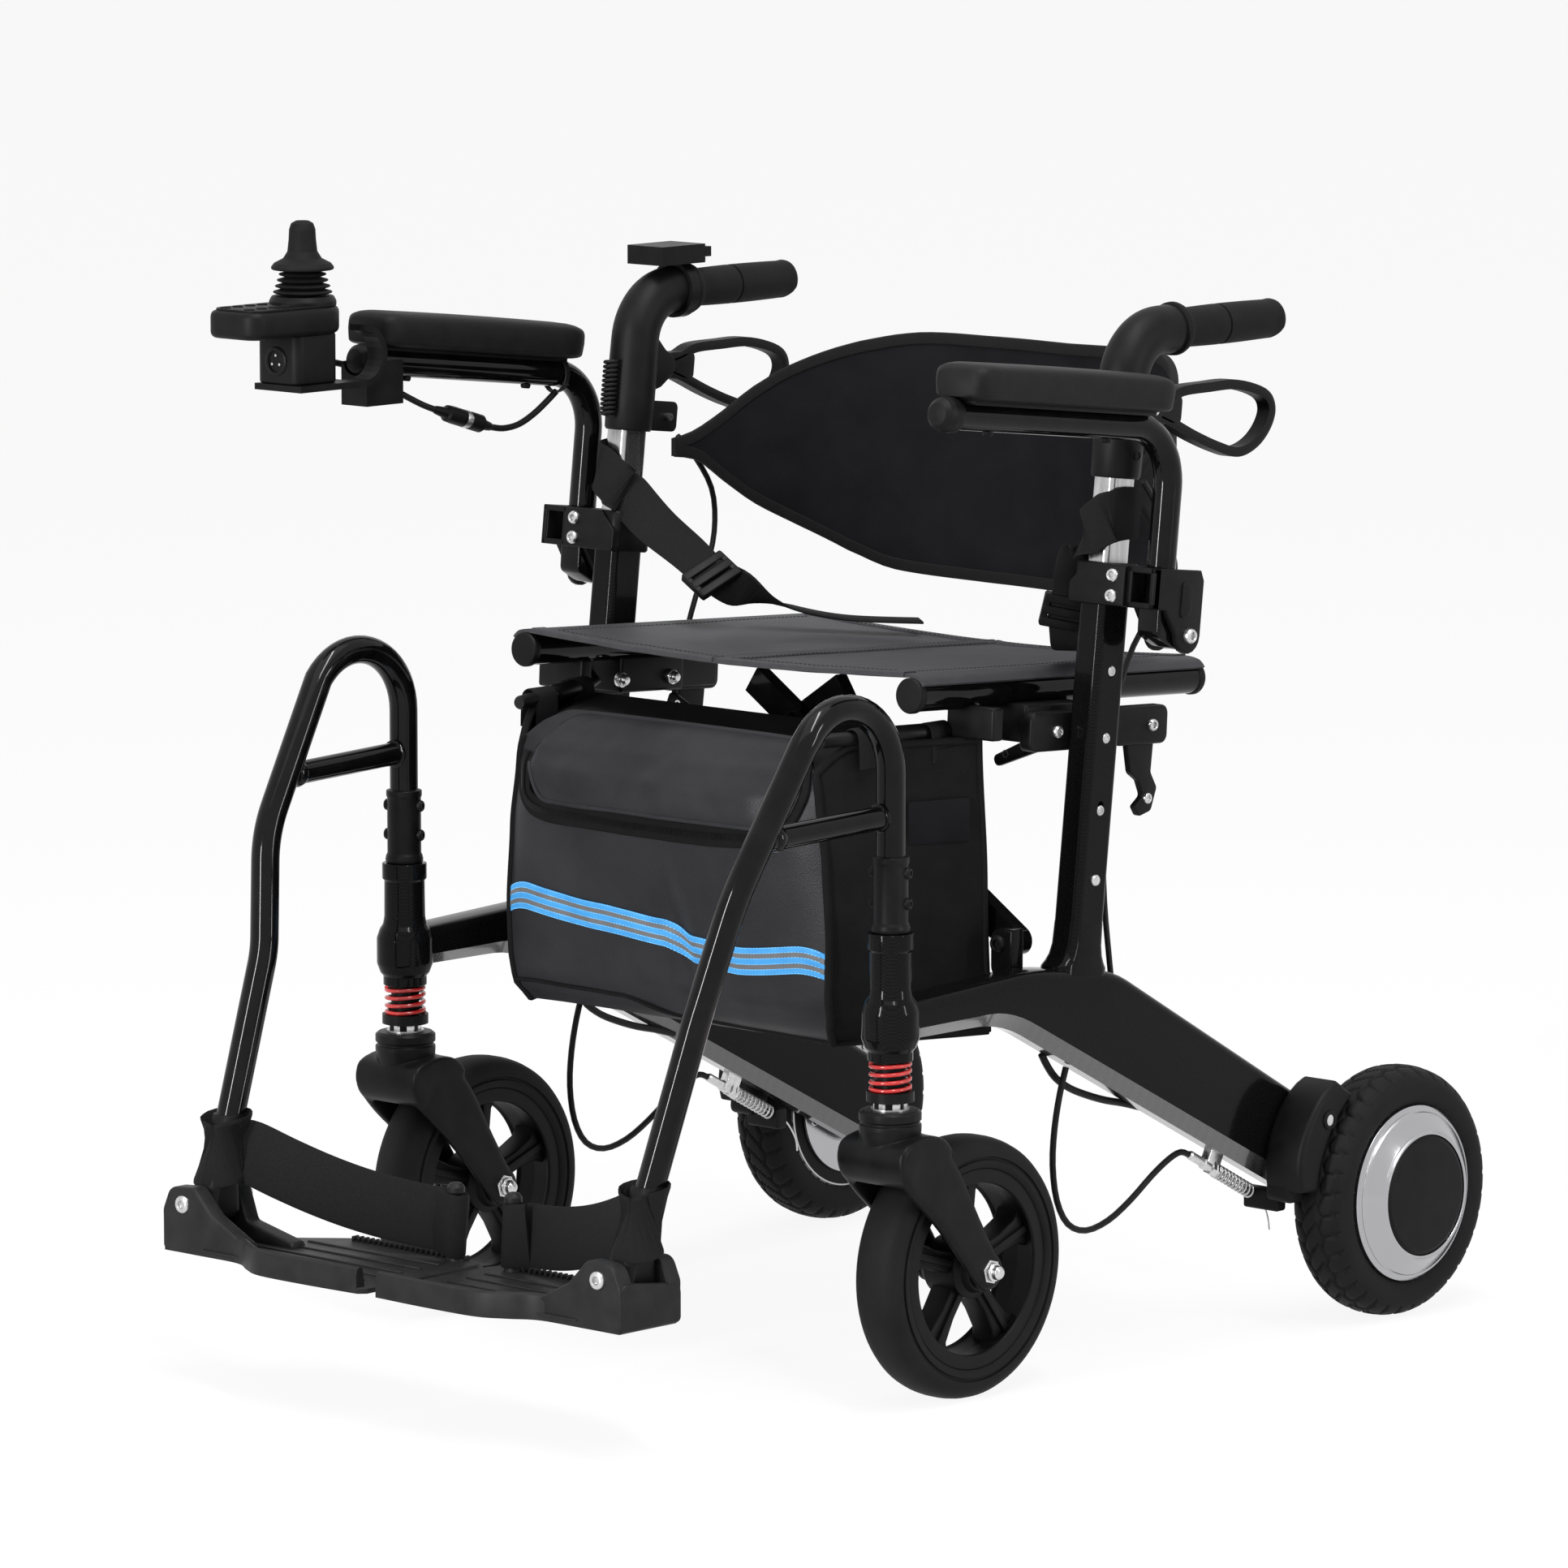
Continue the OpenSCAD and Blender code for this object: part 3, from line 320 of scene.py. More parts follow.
def flat(points):
    """Pairs in mm as points in a plane."""
    return [Vector((u, v, 0)) * MM for u, v in points]


def pairs(path):
    """Points in a plane as pairs in mm."""
    return [(p.x / MM, p.y / MM) for p in path]


def run(path):
    """The length of a path."""
    return sum((b - a).length for a, b in zip(path, path[1:]))


def circle(n, count=None):
    """Points round a unit circle, n to the turn."""
    return [(math.cos(TAU * k / n), math.sin(TAU * k / n)) for k in range(count or n)]


def arc(u, v, r, degrees):
    """Points of a circle about (u, v) at some angles."""
    return [(u + r * math.cos(math.radians(q)), v + r * math.sin(math.radians(q))) for q in degrees]


def rect(u0, v0, u1, v1):
    """The corners of a rectangle."""
    return [(u0, v0), (u1, v0), (u1, v1), (u0, v1)]


def mirrored(half):
    """An outline or profile that goes back as it came, with its second numbers' signs changed."""
    return half + [(u, -v) for u, v in reversed(half)]


def from_side(place):
    """A place for outlines of (y, z) pairs."""
    return lambda y, z, x: place(x, y, z)


def from_front(place):
    """A place for outlines of (x, z) pairs."""
    return lambda x, z, y: place(x, y, z)


def skin(rings, closed=True, cap=True, loop=False):
    """Joins rings of points with quads; closed rings, capped ends, or a loop of rings."""
    rows = [[work.verts.new(p) for p in ring] for ring in rings]
    n = len(rows[0])
    for a, b in list(zip(rows, rows[1:])) + ([(rows[-1], rows[0])] if loop else []):
        for k in range(n if closed else n - 1):
            m = (k + 1) % n
            work.faces.new((a[k], a[m], b[m], b[k]))
    if cap and closed and not loop:
        work.faces.new(list(reversed(rows[0])))
        work.faces.new(rows[-1])


def carried(path, side):
    """Frames along a path, carried on without twist from a first side direction."""
    frames = []
    for i, p in enumerate(path):
        t = (path[min(i + 1, len(path) - 1)] - path[max(i - 1, 0)]).normalized()
        side = (side - t * side.dot(t)).normalized()
        frames.append((p, t, side, t.cross(side)))
    return frames


def tube(path, radius, n=16, side=X):
    """A tube along a path; radius is one number in mm or one for each point."""
    rings = []
    for i, (p, _, u, v) in enumerate(carried(path, side)):
        r = each(radius, i) * MM
        rings.append([p + u * (r * c) + v * (r * d) for c, d in circle(n)])
    skin(rings)


STRAP_RIM = 0.12


def strap(path, widths, thick, across):
    """A flat band along a path: widths in mm, across gives the width's direction at each point or for all."""
    rings = []
    for i, (p, t, _, _) in enumerate(carried(path, Vector((0.3, 0.5, 0.8)))):
        w = each(widths, i) * MM / 2
        a = each(across, i)
        a = (a - t * a.dot(t)).normalized()
        b = t.cross(a) * (thick * MM / 2)
        inner = w - STRAP_RIM * w
        rings.append([p + a * f + b * g for f, g in ((inner, 1), (w, 0.2), (w, -0.2), (inner, -1), (-inner, -1),
                                                     (-w, -0.2), (-w, 0.2), (-inner, 1))])
    skin(rings)


def fillet(points, radius, steps=8):
    """A path with its corners rounded; radius is one number in mm or one for each inner corner."""
    path = [points[0]]
    for i in range(1, len(points) - 1):
        a, b, c = points[i - 1], points[i], points[i + 1]
        u, v = (a - b).normalized(), (c - b).normalized()
        half = u.angle(v) / 2
        cut = min(each(radius, i - 1) * MM / math.tan(half), (a - b).length * 0.49, (c - b).length * 0.49)
        centre = b + (u + v).normalized() * (cut / math.cos(half))
        p, q = b + u * cut - centre, b + v * cut - centre
        turn = p.angle(q)
        for k in range(steps + 1):
            f = k / steps
            path.append(centre + (p * math.sin((1 - f) * turn) + q * math.sin(f * turn)) / math.sin(turn))
    path.append(points[-1])
    return path


def flowing(points, per=6):
    """A smooth path through points."""
    path = []
    last = len(points) - 1
    for i in range(last):
        p0, p1, p2, p3 = points[max(i - 1, 0)], points[i], points[i + 1], points[min(i + 2, last)]
        for k in range(per):
            t = k / per
            path.append(0.5 * (2 * p1 + (p2 - p0) * t + (2 * p0 - 5 * p1 + 4 * p2 - p3) * t ** 2
                               + (3 * p1 - p0 - 3 * p2 + p3) * t ** 3))
    return path + [points[-1]]


def along(table, t):
    """A smooth reading of a table of pairs."""
    if t <= table[0][0]:
        return table[0][1]
    for (a, p), (b, q) in zip(table, table[1:]):
        if t <= b:
            f = (t - a) / (b - a)
            return p + (q - p) * (0.4 * f + 0.6 * f * f * (3 - 2 * f))
    return table[-1][1]


def lathe(profile, centre, axis, n=64, rounding=None):
    """Turns a profile of (radius, height) pairs in mm about an axis; one that never meets the axis is a ring.

    rounding is the radius of the profile's inner corners, one number or one for each.
    """
    if rounding:
        profile = pairs(fillet(flat(profile), rounding, 5))
    axis = axis.normalized()
    u = axis.orthogonal().normalized()
    v = axis.cross(u)
    ring_shaped = min(profile[0][0], profile[-1][0]) > 0.2
    if ring_shaped and math.dist(profile[0], profile[-1]) < 0.01:
        profile = profile[:-1]
    rim = [u * c + v * d for c, d in circle(n)]
    skin([[centre + axis * (h * MM) + d * (max(r, 0.01) * MM) for d in rim] for r, h in profile], loop=ring_shaped)


def join(part):
    """Adds a finished part to the mesh in the making."""
    mesh = bpy.data.meshes.new("part")
    part.to_mesh(mesh)
    part.free()
    work.from_mesh(mesh)
    bpy.data.meshes.remove(mesh)


def soften(part, edges, width, segments):
    """Rounds a part's edges off."""
    bmesh.ops.bevel(part, geom=list(edges), offset=width * MM, segments=segments, profile=0.5, affect="EDGES",
                    clamp_overlap=True)


def plate(outline, place, low, high, bevel=1.5, segments=3):
    """A plate of an outline of (u, v) pairs; place(u, v, w) puts it in the row frame, w from low to high."""
    part = bmesh.new()
    a, b = ([part.verts.new(place(u, v, w)) for u, v in outline] for w in (low, high))
    part.faces.new(a)
    part.faces.new(list(reversed(b)))
    for k in range(len(a)):
        m = (k + 1) % len(a)
        part.faces.new((a[k], b[k], b[m], a[m]))
    bmesh.ops.recalc_face_normals(part, faces=part.faces)
    soften(part, [e for e in part.edges if (e.verts[0] in a) == (e.verts[1] in a)], bevel, segments)
    join(part)


def corners(points, radius, steps=5):
    """A closed outline of (u, v) pairs with its corners rounded; radius is one number or one for each corner."""
    n = len(points)
    outline = []
    for i, p in enumerate(points):
        r = each(radius, i)
        outline += pairs(fillet(flat([points[i - 1], p, points[(i + 1) % n]]), r, steps)[1:-1]) if r else [p]
    return outline


def block(place, low, high, bevel=2.0, segments=3):
    """A box with softened edges between two corners, in the terms of place."""
    part = bmesh.new()
    verts = [part.verts.new(place(*(high[i] if bits[i] else low[i] for i in range(3))))
             for bits in [(0, 0, 0), (1, 0, 0), (1, 1, 0), (0, 1, 0), (0, 0, 1), (1, 0, 1), (1, 1, 1), (0, 1, 1)]]
    for face in ((0, 1, 2, 3), (4, 5, 6, 7), (0, 1, 5, 4), (1, 2, 6, 5), (2, 3, 7, 6), (3, 0, 4, 7)):
        part.faces.new([verts[k] for k in face])
    bmesh.ops.recalc_face_normals(part, faces=part.faces)
    soften(part, part.edges, bevel, segments)
    join(part)


def bolt(where, axis, r=4.5, h=3.0, socket=True):
    """A domed screw head, with a recess for its key."""
    profile = [(0, -1), (r, -1), (r, h * 0.35), (r * 0.92, h * 0.75), (r * 0.74, h)]
    if socket:
        profile += [(r * 0.52, h), (r * 0.46, h * 0.9), (r * 0.44, h * 0.3), (0, h * 0.25)]
    lathe(profile, where, axis, 24)


def coil(low, axis, turns, r, height, wire, per=28, ends=True):
    """A spring about an axis: turns, mean radius, height and wire diameter in mm, its ends run flat."""
    axis = axis.normalized()
    u = axis.orthogonal().normalized()
    v = axis.cross(u)
    count = int(turns * per)
    path = []
    for i in range(count + 1):
        f = i / count
        rise = wire / 2 + (height - wire) * (min(max((f * turns - 0.7) / (turns - 1.4), 0), 1) if ends else f)
        q = TAU * turns * f
        path.append(low + axis * (rise * MM) + (u * math.cos(q) + v * math.sin(q)) * (r * MM))
    tube(path, wire / 2, 12, side=axis)
    return path


def rrect(w, d, r, n=6):
    """Points of a rounded rectangle about the origin."""
    points = []
    for cx, cy, start in ((1, 1, 0), (-1, 1, 90), (-1, -1, 180), (1, -1, 270)):
        for k in range(n + 1):
            q = math.radians(start + 90 * k / n)
            points.append((cx * (w / 2 - r) + r * math.cos(q), cy * (d / 2 - r) + r * math.sin(q)))
    return points


CAST_VOXEL, CAST_ROUNDS = 1.5, 24


def cast(obj):
    """Melts a piece's parts into one with flowing corners, as a casting has."""
    melt = obj.modifiers.new("melt", "REMESH")
    melt.mode = "VOXEL"
    melt.voxel_size = CAST_VOXEL * MM
    melt.use_smooth_shade = True
    flow = obj.modifiers.new("flow", "SMOOTH")
    flow.factor = 0.5
    flow.iterations = CAST_ROUNDS


def dress(node, mat, bevel=None):
    """A CAD node that stays: its material, and softened edges."""
    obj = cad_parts[node]
    obj.data.materials.clear()
    obj.data.materials.append(mat)
    if bevel:
        merge = obj.modifiers.new("merge", "DECIMATE")
        merge.decimate_type = "DISSOLVE"
        merge.angle_limit = math.radians(1)
        soft = obj.modifiers.new("soft", "BEVEL")
        soft.width = bevel * MM
        soft.segments = 2
        soft.limit_method = "ANGLE"
        soft.angle_limit = math.radians(40)
        soft.harden_normals = True


# Camera, light and floor

CAMERA = (4731.1, -5002.3, 1444.8)
CAMERA_LENS, CAMERA_TILT, CAMERA_TURN = 210.5, 8.227, 42.503
camera_data = bpy.data.cameras.new("camera")
camera_data.lens = CAMERA_LENS
camera_data.sensor_width = 36
camera_data.clip_end = 100
camera = bpy.data.objects.new("camera", camera_data)
camera.location = at(*CAMERA)
camera.rotation_euler = (math.radians(90 - CAMERA_TILT), 0, math.radians(CAMERA_TURN))
scene.collection.objects.link(camera)
scene.camera = camera
scene.view_settings.view_transform = "Standard"

FLOOR_SIZE, FLOOR_GLOW, WORLD_LIGHT = 60, 0.9, 0.42


def seen_directly(tree):
    """1 where a camera, glossy or transmission ray looks, 0 for the light that falls on the object."""
    rays = tree.nodes.new("ShaderNodeLightPath")
    total = rays.outputs["Is Camera Ray"]
    for name in ("Is Glossy Ray", "Is Transmission Ray"):
        add = linked(tree, "ShaderNodeMath", total, 0)
        add.operation = "ADD"
        add.use_clamp = True
        tree.links.new(rays.outputs[name], add.inputs[1])
        total = add.outputs[0]
    return total


def mixed(tree, share, first, second, output):
    """Feeds the tree's output from two shaders."""
    both = linked(tree, "ShaderNodeMixShader", share, 0)
    tree.links.new(first.outputs[0], both.inputs[1])
    tree.links.new(second.outputs[0], both.inputs[2])
    tree.links.new(both.outputs[0], tree.nodes[output].inputs[0])


floor_mesh = bpy.data.meshes.new("floor")
floor_mesh.from_pydata([(x * FLOOR_SIZE, y * FLOOR_SIZE, 0) for x, y in ((-1, -1), (1, -1), (1, 1), (-1, 1))], [],
                       [(0, 1, 2, 3)])
floor = bpy.data.objects.new("floor", floor_mesh)
scene.collection.objects.link(floor)
floor_mat = bpy.data.materials.new("pale_floor")
tree, shader, _ = links_for(floor_mat)
shader.inputs["Base Color"].default_value = (0.9, 0.9, 0.9, 1)
shader.inputs["Roughness"].default_value = 0.9
shader.inputs["Specular IOR Level"].default_value = 0.0
share = linked(tree, "ShaderNodeMath", seen_directly(tree), 0)
share.operation = "MULTIPLY"
share.inputs[1].default_value = FLOOR_GLOW
mixed(tree, share.outputs[0], shader, tree.nodes.new("ShaderNodeEmission"), "Material Output")
floor_mesh.materials.append(floor_mat)

world = bpy.data.worlds.new("studio")
scene.world = world
world.use_nodes = True
tree = world.node_tree
lit, white = tree.nodes["Background"], tree.nodes.new("ShaderNodeBackground")
for background in (lit, white):
    background.inputs["Color"].default_value = (1, 1, 1, 1)
lit.inputs["Strength"].default_value = WORLD_LIGHT
mixed(tree, seen_directly(tree), lit, white, "World Output")


def softbox(name, where, aim, size, power):
    light = bpy.data.lights.new(name, "AREA")
    light.shape = "RECTANGLE"
    light.size, light.size_y = size
    light.energy = power
    obj = bpy.data.objects.new(name, light)
    obj.location = where
    obj.rotation_euler = (Vector(aim) - Vector(where)).to_track_quat("-Z", "Y").to_euler()
    scene.collection.objects.link(obj)


softbox("top_light", (0.6, -0.8, 4.2), (0, 0, 0.3), (4.0, 4.0), 58)
softbox("top_strip", (1.2, -0.6, 4.0), (0, 0, 0.3), (0.3, 3.2), 110)
softbox("front_strip", (0.1, -4.6, 1.3), (0, 0, 0.45), (0.3, 2.6), 190)
softbox("side_strip", (4.6, 1.2, 1.5), (0, 0, 0.4), (0.3, 2.2), 60)

# Cords: the cables of the brakes, motors and levers, and the joystick's lead


def cable(name, points, r, body, replaces=None, per=3, hold=None):
    """A cord on a smooth route, both of whose ends go into the object."""
    path = flowing(points, per)
    tube(path, r, 12)
    obj = piece(name, CABLE, body, replaces, hold=hold)
    tuple(points[0])
    run(path)
    [tuple(p) for p in path]


BRAKE_ROUTE = [(COLUMN_X, y, z) for y, z in [
    (200, 235.6), (193, 216), (187, 190), (185, 162), (190, 134), (203, 114), (224, 106), (250, 110), (276, 122),
    (302, 138), (322, 148), (336, 151.5), (347, 147.5)]]
MOTOR_ROUTE = [(246, y, z) for y, z in [(181, 247), (187, 238), (197, 227), (213, 217), (233, 209), (255, 202),
                                        (276, 197), (297, 191)]]
LEVER_ROUTE = [(243, 300, 674), (240, 318, 655), (238, 334, 630), (238, 338, 603), (234, 328, 577), (229, 306, 546),
               (227, 288, 505), (228, 276, 458), (233, 266, 408), (241, 259, 356), (248, 256, 318), (251, 256, 296)]
LEAD_FRONT = [(-319, -44.9, 752), (-321, -30, 752), (-323, -8, 750), (-323, 16, 744), (-321, 38, 734), (-315, 58, 722),
              (-309, 76, 712), (-306, 88, 707)]
LEAD_BACK = [(-306, 152, 688), (-306, 166, 686), (-305, 182, 688), (-304, 198, 695), (-303, 212, 704),
             (-302, 222, 711.6)]
for side in SIDES:
    brake_path, motor_path, lever_path = ([side.at(*p) for p in route]
                                          for route in (BRAKE_ROUTE, MOTOR_ROUTE, LEVER_ROUTE))
    body = side.node("frame")
    cable(side.node("brake_cable_jacket"), brake_path, 2.5, body, side.node("brake_cable"))
    cable(side.node("motor_cable"), motor_path, 2.9, body)
    cable(side.node("lever_cable"), lever_path, 2.3, None,
          hold=blended(side.node("handle"), body, lever_path[1], lever_path[-3]))


def connector(rings):
    """Turns (share of the way, radius) pairs about the line from one lead to the other."""
    start = at(*LEAD_FRONT[-1])
    axis = at(*LEAD_BACK[0]) - start
    lathe([(r, f * axis.length / MM) for f, r in rings], start, axis, 28)


connector([(0, 2.6), (0.04, 3.4), (0.2, 4.6), (0.22, 6.6), (0.3, 7.0), (0.5, 7.0), (0.5, 0.1)])
connector([(0.6, 0.1), (0.6, 7.0), (0.62, 7.2), (0.8, 7.2), (0.82, 6.0), (0.84, 4.6), (0.97, 3.4), (1.0, 2.6)])
plug = piece("lead_connector", PLASTIC_DARK, "right_armrest", slot="cable_rubber")
connector([(0.5, 0.1), (0.5, 6.9), (0.52, 7.3), (0.56, 7.3), (0.57, 6.6), (0.6, 6.6), (0.6, 0.1)])
ring = piece("lead_ring", NICKEL, "right_armrest")
cable("joystick_lead_front", [at(*p) for p in LEAD_FRONT], 2.6, "right_armrest", "joystick_lead", 4)
cable("joystick_lead_back", [at(*p) for p in LEAD_BACK], 2.6, "right_armrest", None, 4)
strap([leaned(-ARM_X + 12.6 * u, -36, ARM_RISE - 1.5 + 14 * v) for u, v in circle(24, 25)], 5, 1.4, Y)
piece("lead_tie", CABLE, "right_armrest")

# Carbon side frames


def resample(path, count):
    """Points at even steps along a path."""
    steps = [0.0]
    for a, b in zip(path, path[1:]):
        steps.append(steps[-1] + (b - a).length)
    points = []
    j = 0
    for i in range(count + 1):
        d = steps[-1] * i / count
        while j < len(path) - 2 and steps[j + 1] < d:
            j += 1
        points.append(path[j].lerp(path[j + 1], (d - steps[j]) / max(steps[j + 1] - steps[j], 1e-9)))
    return points


ARM_HALF_W, ARM_END_R = 16, 34
ARM_ROUND, ARM_CHAMFER = 7, 11
KNEE_Y, KNEE_Z = 242, 306
COLUMN_FACE = 266.5


def arm_section(top, low):
    """A cross-section of the arm as (x, point) pairs: rounded above, chamfered below."""
    up = top - low
    h = up.length / MM
    up.normalize()
    r, c = min(ARM_ROUND, h * 0.3), min(ARM_CHAMFER, h * 0.3)
    half = [(ARM_HALF_W - c * 0.9, 0), (ARM_HALF_W, c)]
    half += [(ARM_HALF_W - r + r * math.cos(q), h - r + r * math.sin(q)) for q in (0, 0.4, 0.8, 1.2, 1.57)]
    return [(x, low + up * (d * MM)) for x, d in half + [(-x, d) for x, d in reversed(half)]]


def side_frame(side):
    drop = math.atan2(KNEE_Z - REAR_R - ARM_END_R, REAR_Y - KNEE_Y)
    out, up = Vector((math.cos(drop), -math.sin(drop), 0)), Vector((math.sin(drop), math.cos(drop), 0))
    axle, tip = Vector((REAR_Y, REAR_R, 0)) * MM, up * (ARM_END_R * MM)
    top = fillet(flat([(-4, 311), (150, 318), (KNEE_Y, KNEE_Z)]) + [axle + tip], [220, 90], 12)
    low = fillet(flat([(-4, 282), (116, 281)]) + [axle - tip], [120], 12)
    stations = list(zip(resample(top, 60), resample(low, 60)))
    for d in (8, 15, 21, 26, 30, 32.5, 33.7):
        reach = up * (math.sqrt(ARM_END_R ** 2 - d * d) * MM)
        stations.append((axle + out * (d * MM) + reach, axle + out * (d * MM) - reach))
    rings = [[side.at(HEAD_X + x, v.x / MM, v.y / MM) for x, v in arm_section(a, b)] for a, b in stations]
    skin(rings)
    # The chamfers and the underside take the lacquer, the second material
    count = len(rings[0])
    work.faces.index_update()
    for face in work.faces:
        if len(face.verts) == 4 and face.index % count in (0, count - 2, count - 1):
            face.material_index = 1
    lathe([(11.2, 267), (17, 267), (17, 274), (19.4, 277), (22, 284), (22, 304), (19.6, 311), (17, 315), (16, 321),
           (15.8, 349), (17.4, 351), (17.4, 363), (11.2, 363)], side.at(HEAD_X, 0, 0), Z, 48,
          [0.6, 0.6, 3, 8, 8, 8, 6, 6, 0.6, 0.6, 0.6])
    foot = ((-16, 31, 58), (0, 30.5, 56), (4, 28.6, 48), (9, 27, 41), (17, 25.8, 36), (34, 25.3, 34.4))
    skin([[side.leaned(HEAD_X + u, v - (d - 34) * 0.1, z) for u, v in rrect(w, d, 6 + (d - 34) * 0.3)]
          for z, w, d in foot])
    lathe(rect(0, -16, 8, 44), side.at(HEAD_X, REAR_Y, REAR_R), side.out, 24)
    lug_low, lug_high, bolt_y = (153, 167, 154) if side is LEFT else (193.5, 207.5, 207)
    plate(corners(rect(218, 307, 240, 345), [8, 0, 0, 9]), from_front(side.at), lug_low, lug_high, 2)
    shell = side.piece("side_frame_shell", CARBON, "frame", "side_frame", sharp=40)
    shell.data.materials.append(UNDER)
    bolt(side.at(226, bolt_y, 333), Y * -side.s, 7, 4)
    side.piece("lug_bolt", SATIN, "frame", slot="steel")
    bolt(side.at(237.5, 300, 232), -side.out, 9, 1.5, False)
    bolt(side.leaned(COLUMN_FACE - 0.1, 0, 67), side.out, 4.6, 2.6, False)
    side.piece("frame_bolts", STEEL, "frame")
    for z in (226, 175, 120):
        lathe([(0, -1), (4, -1), (4, 0.3), (3.4, 0.9), (2, 1), (1.8, 0.4), (0, 0.3)],
              side.leaned(COLUMN_FACE, 0, z), side.out, 24)
    side.piece("column_plugs", NICKEL, "frame")


for side in SIDES:
    side_frame(side)
    dress(side.node("column"), CARBON)
    dress(side.node("handle_tube"), ALU)
    dress(side.node("brace"), PAINT, 1.5)
    dress(side.node("caster_stem"), SATIN, 0.6)

# Wheels

CASTER_HALF_W = 21
TREAD_POINTS, TREAD_PITCH = 288, 8
GROOVE_DEPTH, SLOT_DEPTH, SLIT_DEPTH = 2.1, 1.9, 1.5


def caster(side):
    hub = side.at(HEAD_X, CASTER_Y, CASTER_R)
    wall = [(r, d - CASTER_HALF_W) for r, d in [
        (76, 3), (77.5, 0.6), (81, 0), (82.5, 0), (83, 1.6), (85, 1.6), (85.5, 0), (89, 0), (93, 1.5), (96, 4), (98, 7),
        (99.4, 12), (100, 17)]]
    lathe(mirrored(wall), hub, X, 96)
    side.piece("caster_tyre_skin", TYRE, "caster_wheel", "caster_tyre", sharp=50)
    lathe([(65, -17), (66, -19), (76.4, -19), (76.4, 19), (66, 19), (65, 17), (66.5, 14), (67.5, 0), (66.5, -14),
           (65, -17)], hub, X, 96, 1)
    lathe(mirrored([(6.1, -24.4), (16, -24.4), (18, -18), (23, -15)]), hub, X, 40, 1)
    for k in range(5):
        q = TAU * (k + 0.27) / 5
        u, v = Vector((0, math.cos(q), math.sin(q))), Vector((0, -math.sin(q), math.cos(q)))

        def spoke(a, b, w):
            return hub + (u * a + v * b + X * w) * MM

        plate(mirrored([(18, -8), (40, -7.5), (58, -10), (67, -17)]), spoke, -11, 11, 2.5)
        plate(mirrored([(20, -2.5), (66, -3)]), spoke, -14, 14, 1.2, 2)
    side.piece("caster_rim_cast", PLASTIC, "caster_wheel", "caster_rim")


FORK_FRONT = [(-15, 200), (6, 205), (26, 201), (45, 180), (66, 143), (87, 110)]
FORK_BACK = [(63, 92), (38, 121), (14, 146), (-5, 163), (-16, 176), (-20, 190), (-15, 200)]
FORK_HOOD = [(-12, 173), (-20, 180), (-24, 193), (-19, 206), (4, 212), (24, 209), (35, 198), (30, 194.5), (12, 195),
             (-3, 193), (-8, 184), (-12, 173)]
FORK_TIP_R = 15.5


def fork(side):
    head = side.at(HEAD_X, 0, 0)
    lathe([(8.1, 203), (22, 203), (23, 210), (23.5, 216), (23.5, 219), (22, 220), (22, 221.5), (23.5, 222.5),
           (23.5, 228), (21, 230.1), (8.1, 230.1)], head, Z, 48, 0.8)
    side.piece("fork_neck", SATIN, "fork")
    lathe([(0, 199), (21, 199), (22.4, 204), (21.4, 213), (19, 214), (0, 214)], head, Z, 40)
    tip = flat(arc(CASTER_Y, CASTER_R, FORK_TIP_R, range(30, -151, -20)))
    leg = pairs(flowing(flat(FORK_FRONT), 5)[:-1] + tip + flowing(flat(FORK_BACK), 5)[1:-1])
    for low, high in ((24.6, 33.2), (-33.2, -24.6)):
        plate(leg, from_side(side.at), HEAD_X + low, HEAD_X + high, 3.4, 4)
    plate(pairs(flowing(flat(FORK_HOOD), 4)[:-1]), from_side(side.at), HEAD_X - 33.6, HEAD_X + 33.6, 2.6, 4)
    cast(side.piece("caster_fork_cast", SATIN, "fork", "caster_fork", sharp=180))
    for way in (1, -1):
        face = at(side.s * HEAD_X + way * 33, CASTER_Y, CASTER_R)
        lathe([(0, -4), (9.5, -4), (9.5, 0.9), (8.8, 1.4), (8, 1.4), (8, 1)], face, X * way, 6 if way > 0 else 24)
        lathe([(0, 0), (7.2, 0.5), (7.2, 4), (5.6, 4.6), (5.2, 8.4), (3.4, 10.2), (0, 10.6)], face, X * way, 20, 0.8)
    lathe(rect(0, -25, 6, 25), side.at(HEAD_X, CASTER_Y, CASTER_R), X, 20)
    side.piece("caster_axle", STEEL, "fork")


def spring(side):
    head = side.at(HEAD_X, 0, 0)
    coil(side.at(HEAD_X, 0, 244), Z, 4.5, 14.6, 22, 3.2)
    side.piece("spring_coil", RED, "frame", "suspension_spring",
               hold=squashed(side.node("suspension_slide"), (0, 0, 1), side.at(HEAD_X, 0, 266), 0.48))
    lathe([(0, 230.6), (12.4, 230.6), (12.6, 231.4), (12.6, 235.4), (12, 236.3), (0, 236.3)], head, Z, 6)
    lathe(rect(11, 230.2, 14.6, 231.4), head, Z, 32)
    side.piece("stem_nut", STEEL, "suspension")


def tread_cut(k, h):
    """The tread's depth at a step round the tyre: a zigzag groove each side, shoulder slots and middle slits."""
    d, shift = abs(h), TREAD_PITCH // 2 if h > 0 else 0
    saw = abs((k + shift) / TREAD_PITCH % 1 - 0.5) * 4 - 1
    cut = GROOVE_DEPTH * math.exp(-((d - 8.6 - 1.7 * saw) / 1.2) ** 2)
    if 10 < d < 22 and (k + shift + d * 0.12) % TREAD_PITCH < 1.4:
        cut = max(cut, SLOT_DEPTH)
    if d < 6 and (k + h * 0.5) % TREAD_PITCH < 1.2:
        cut = max(cut, SLIT_DEPTH)
    return cut


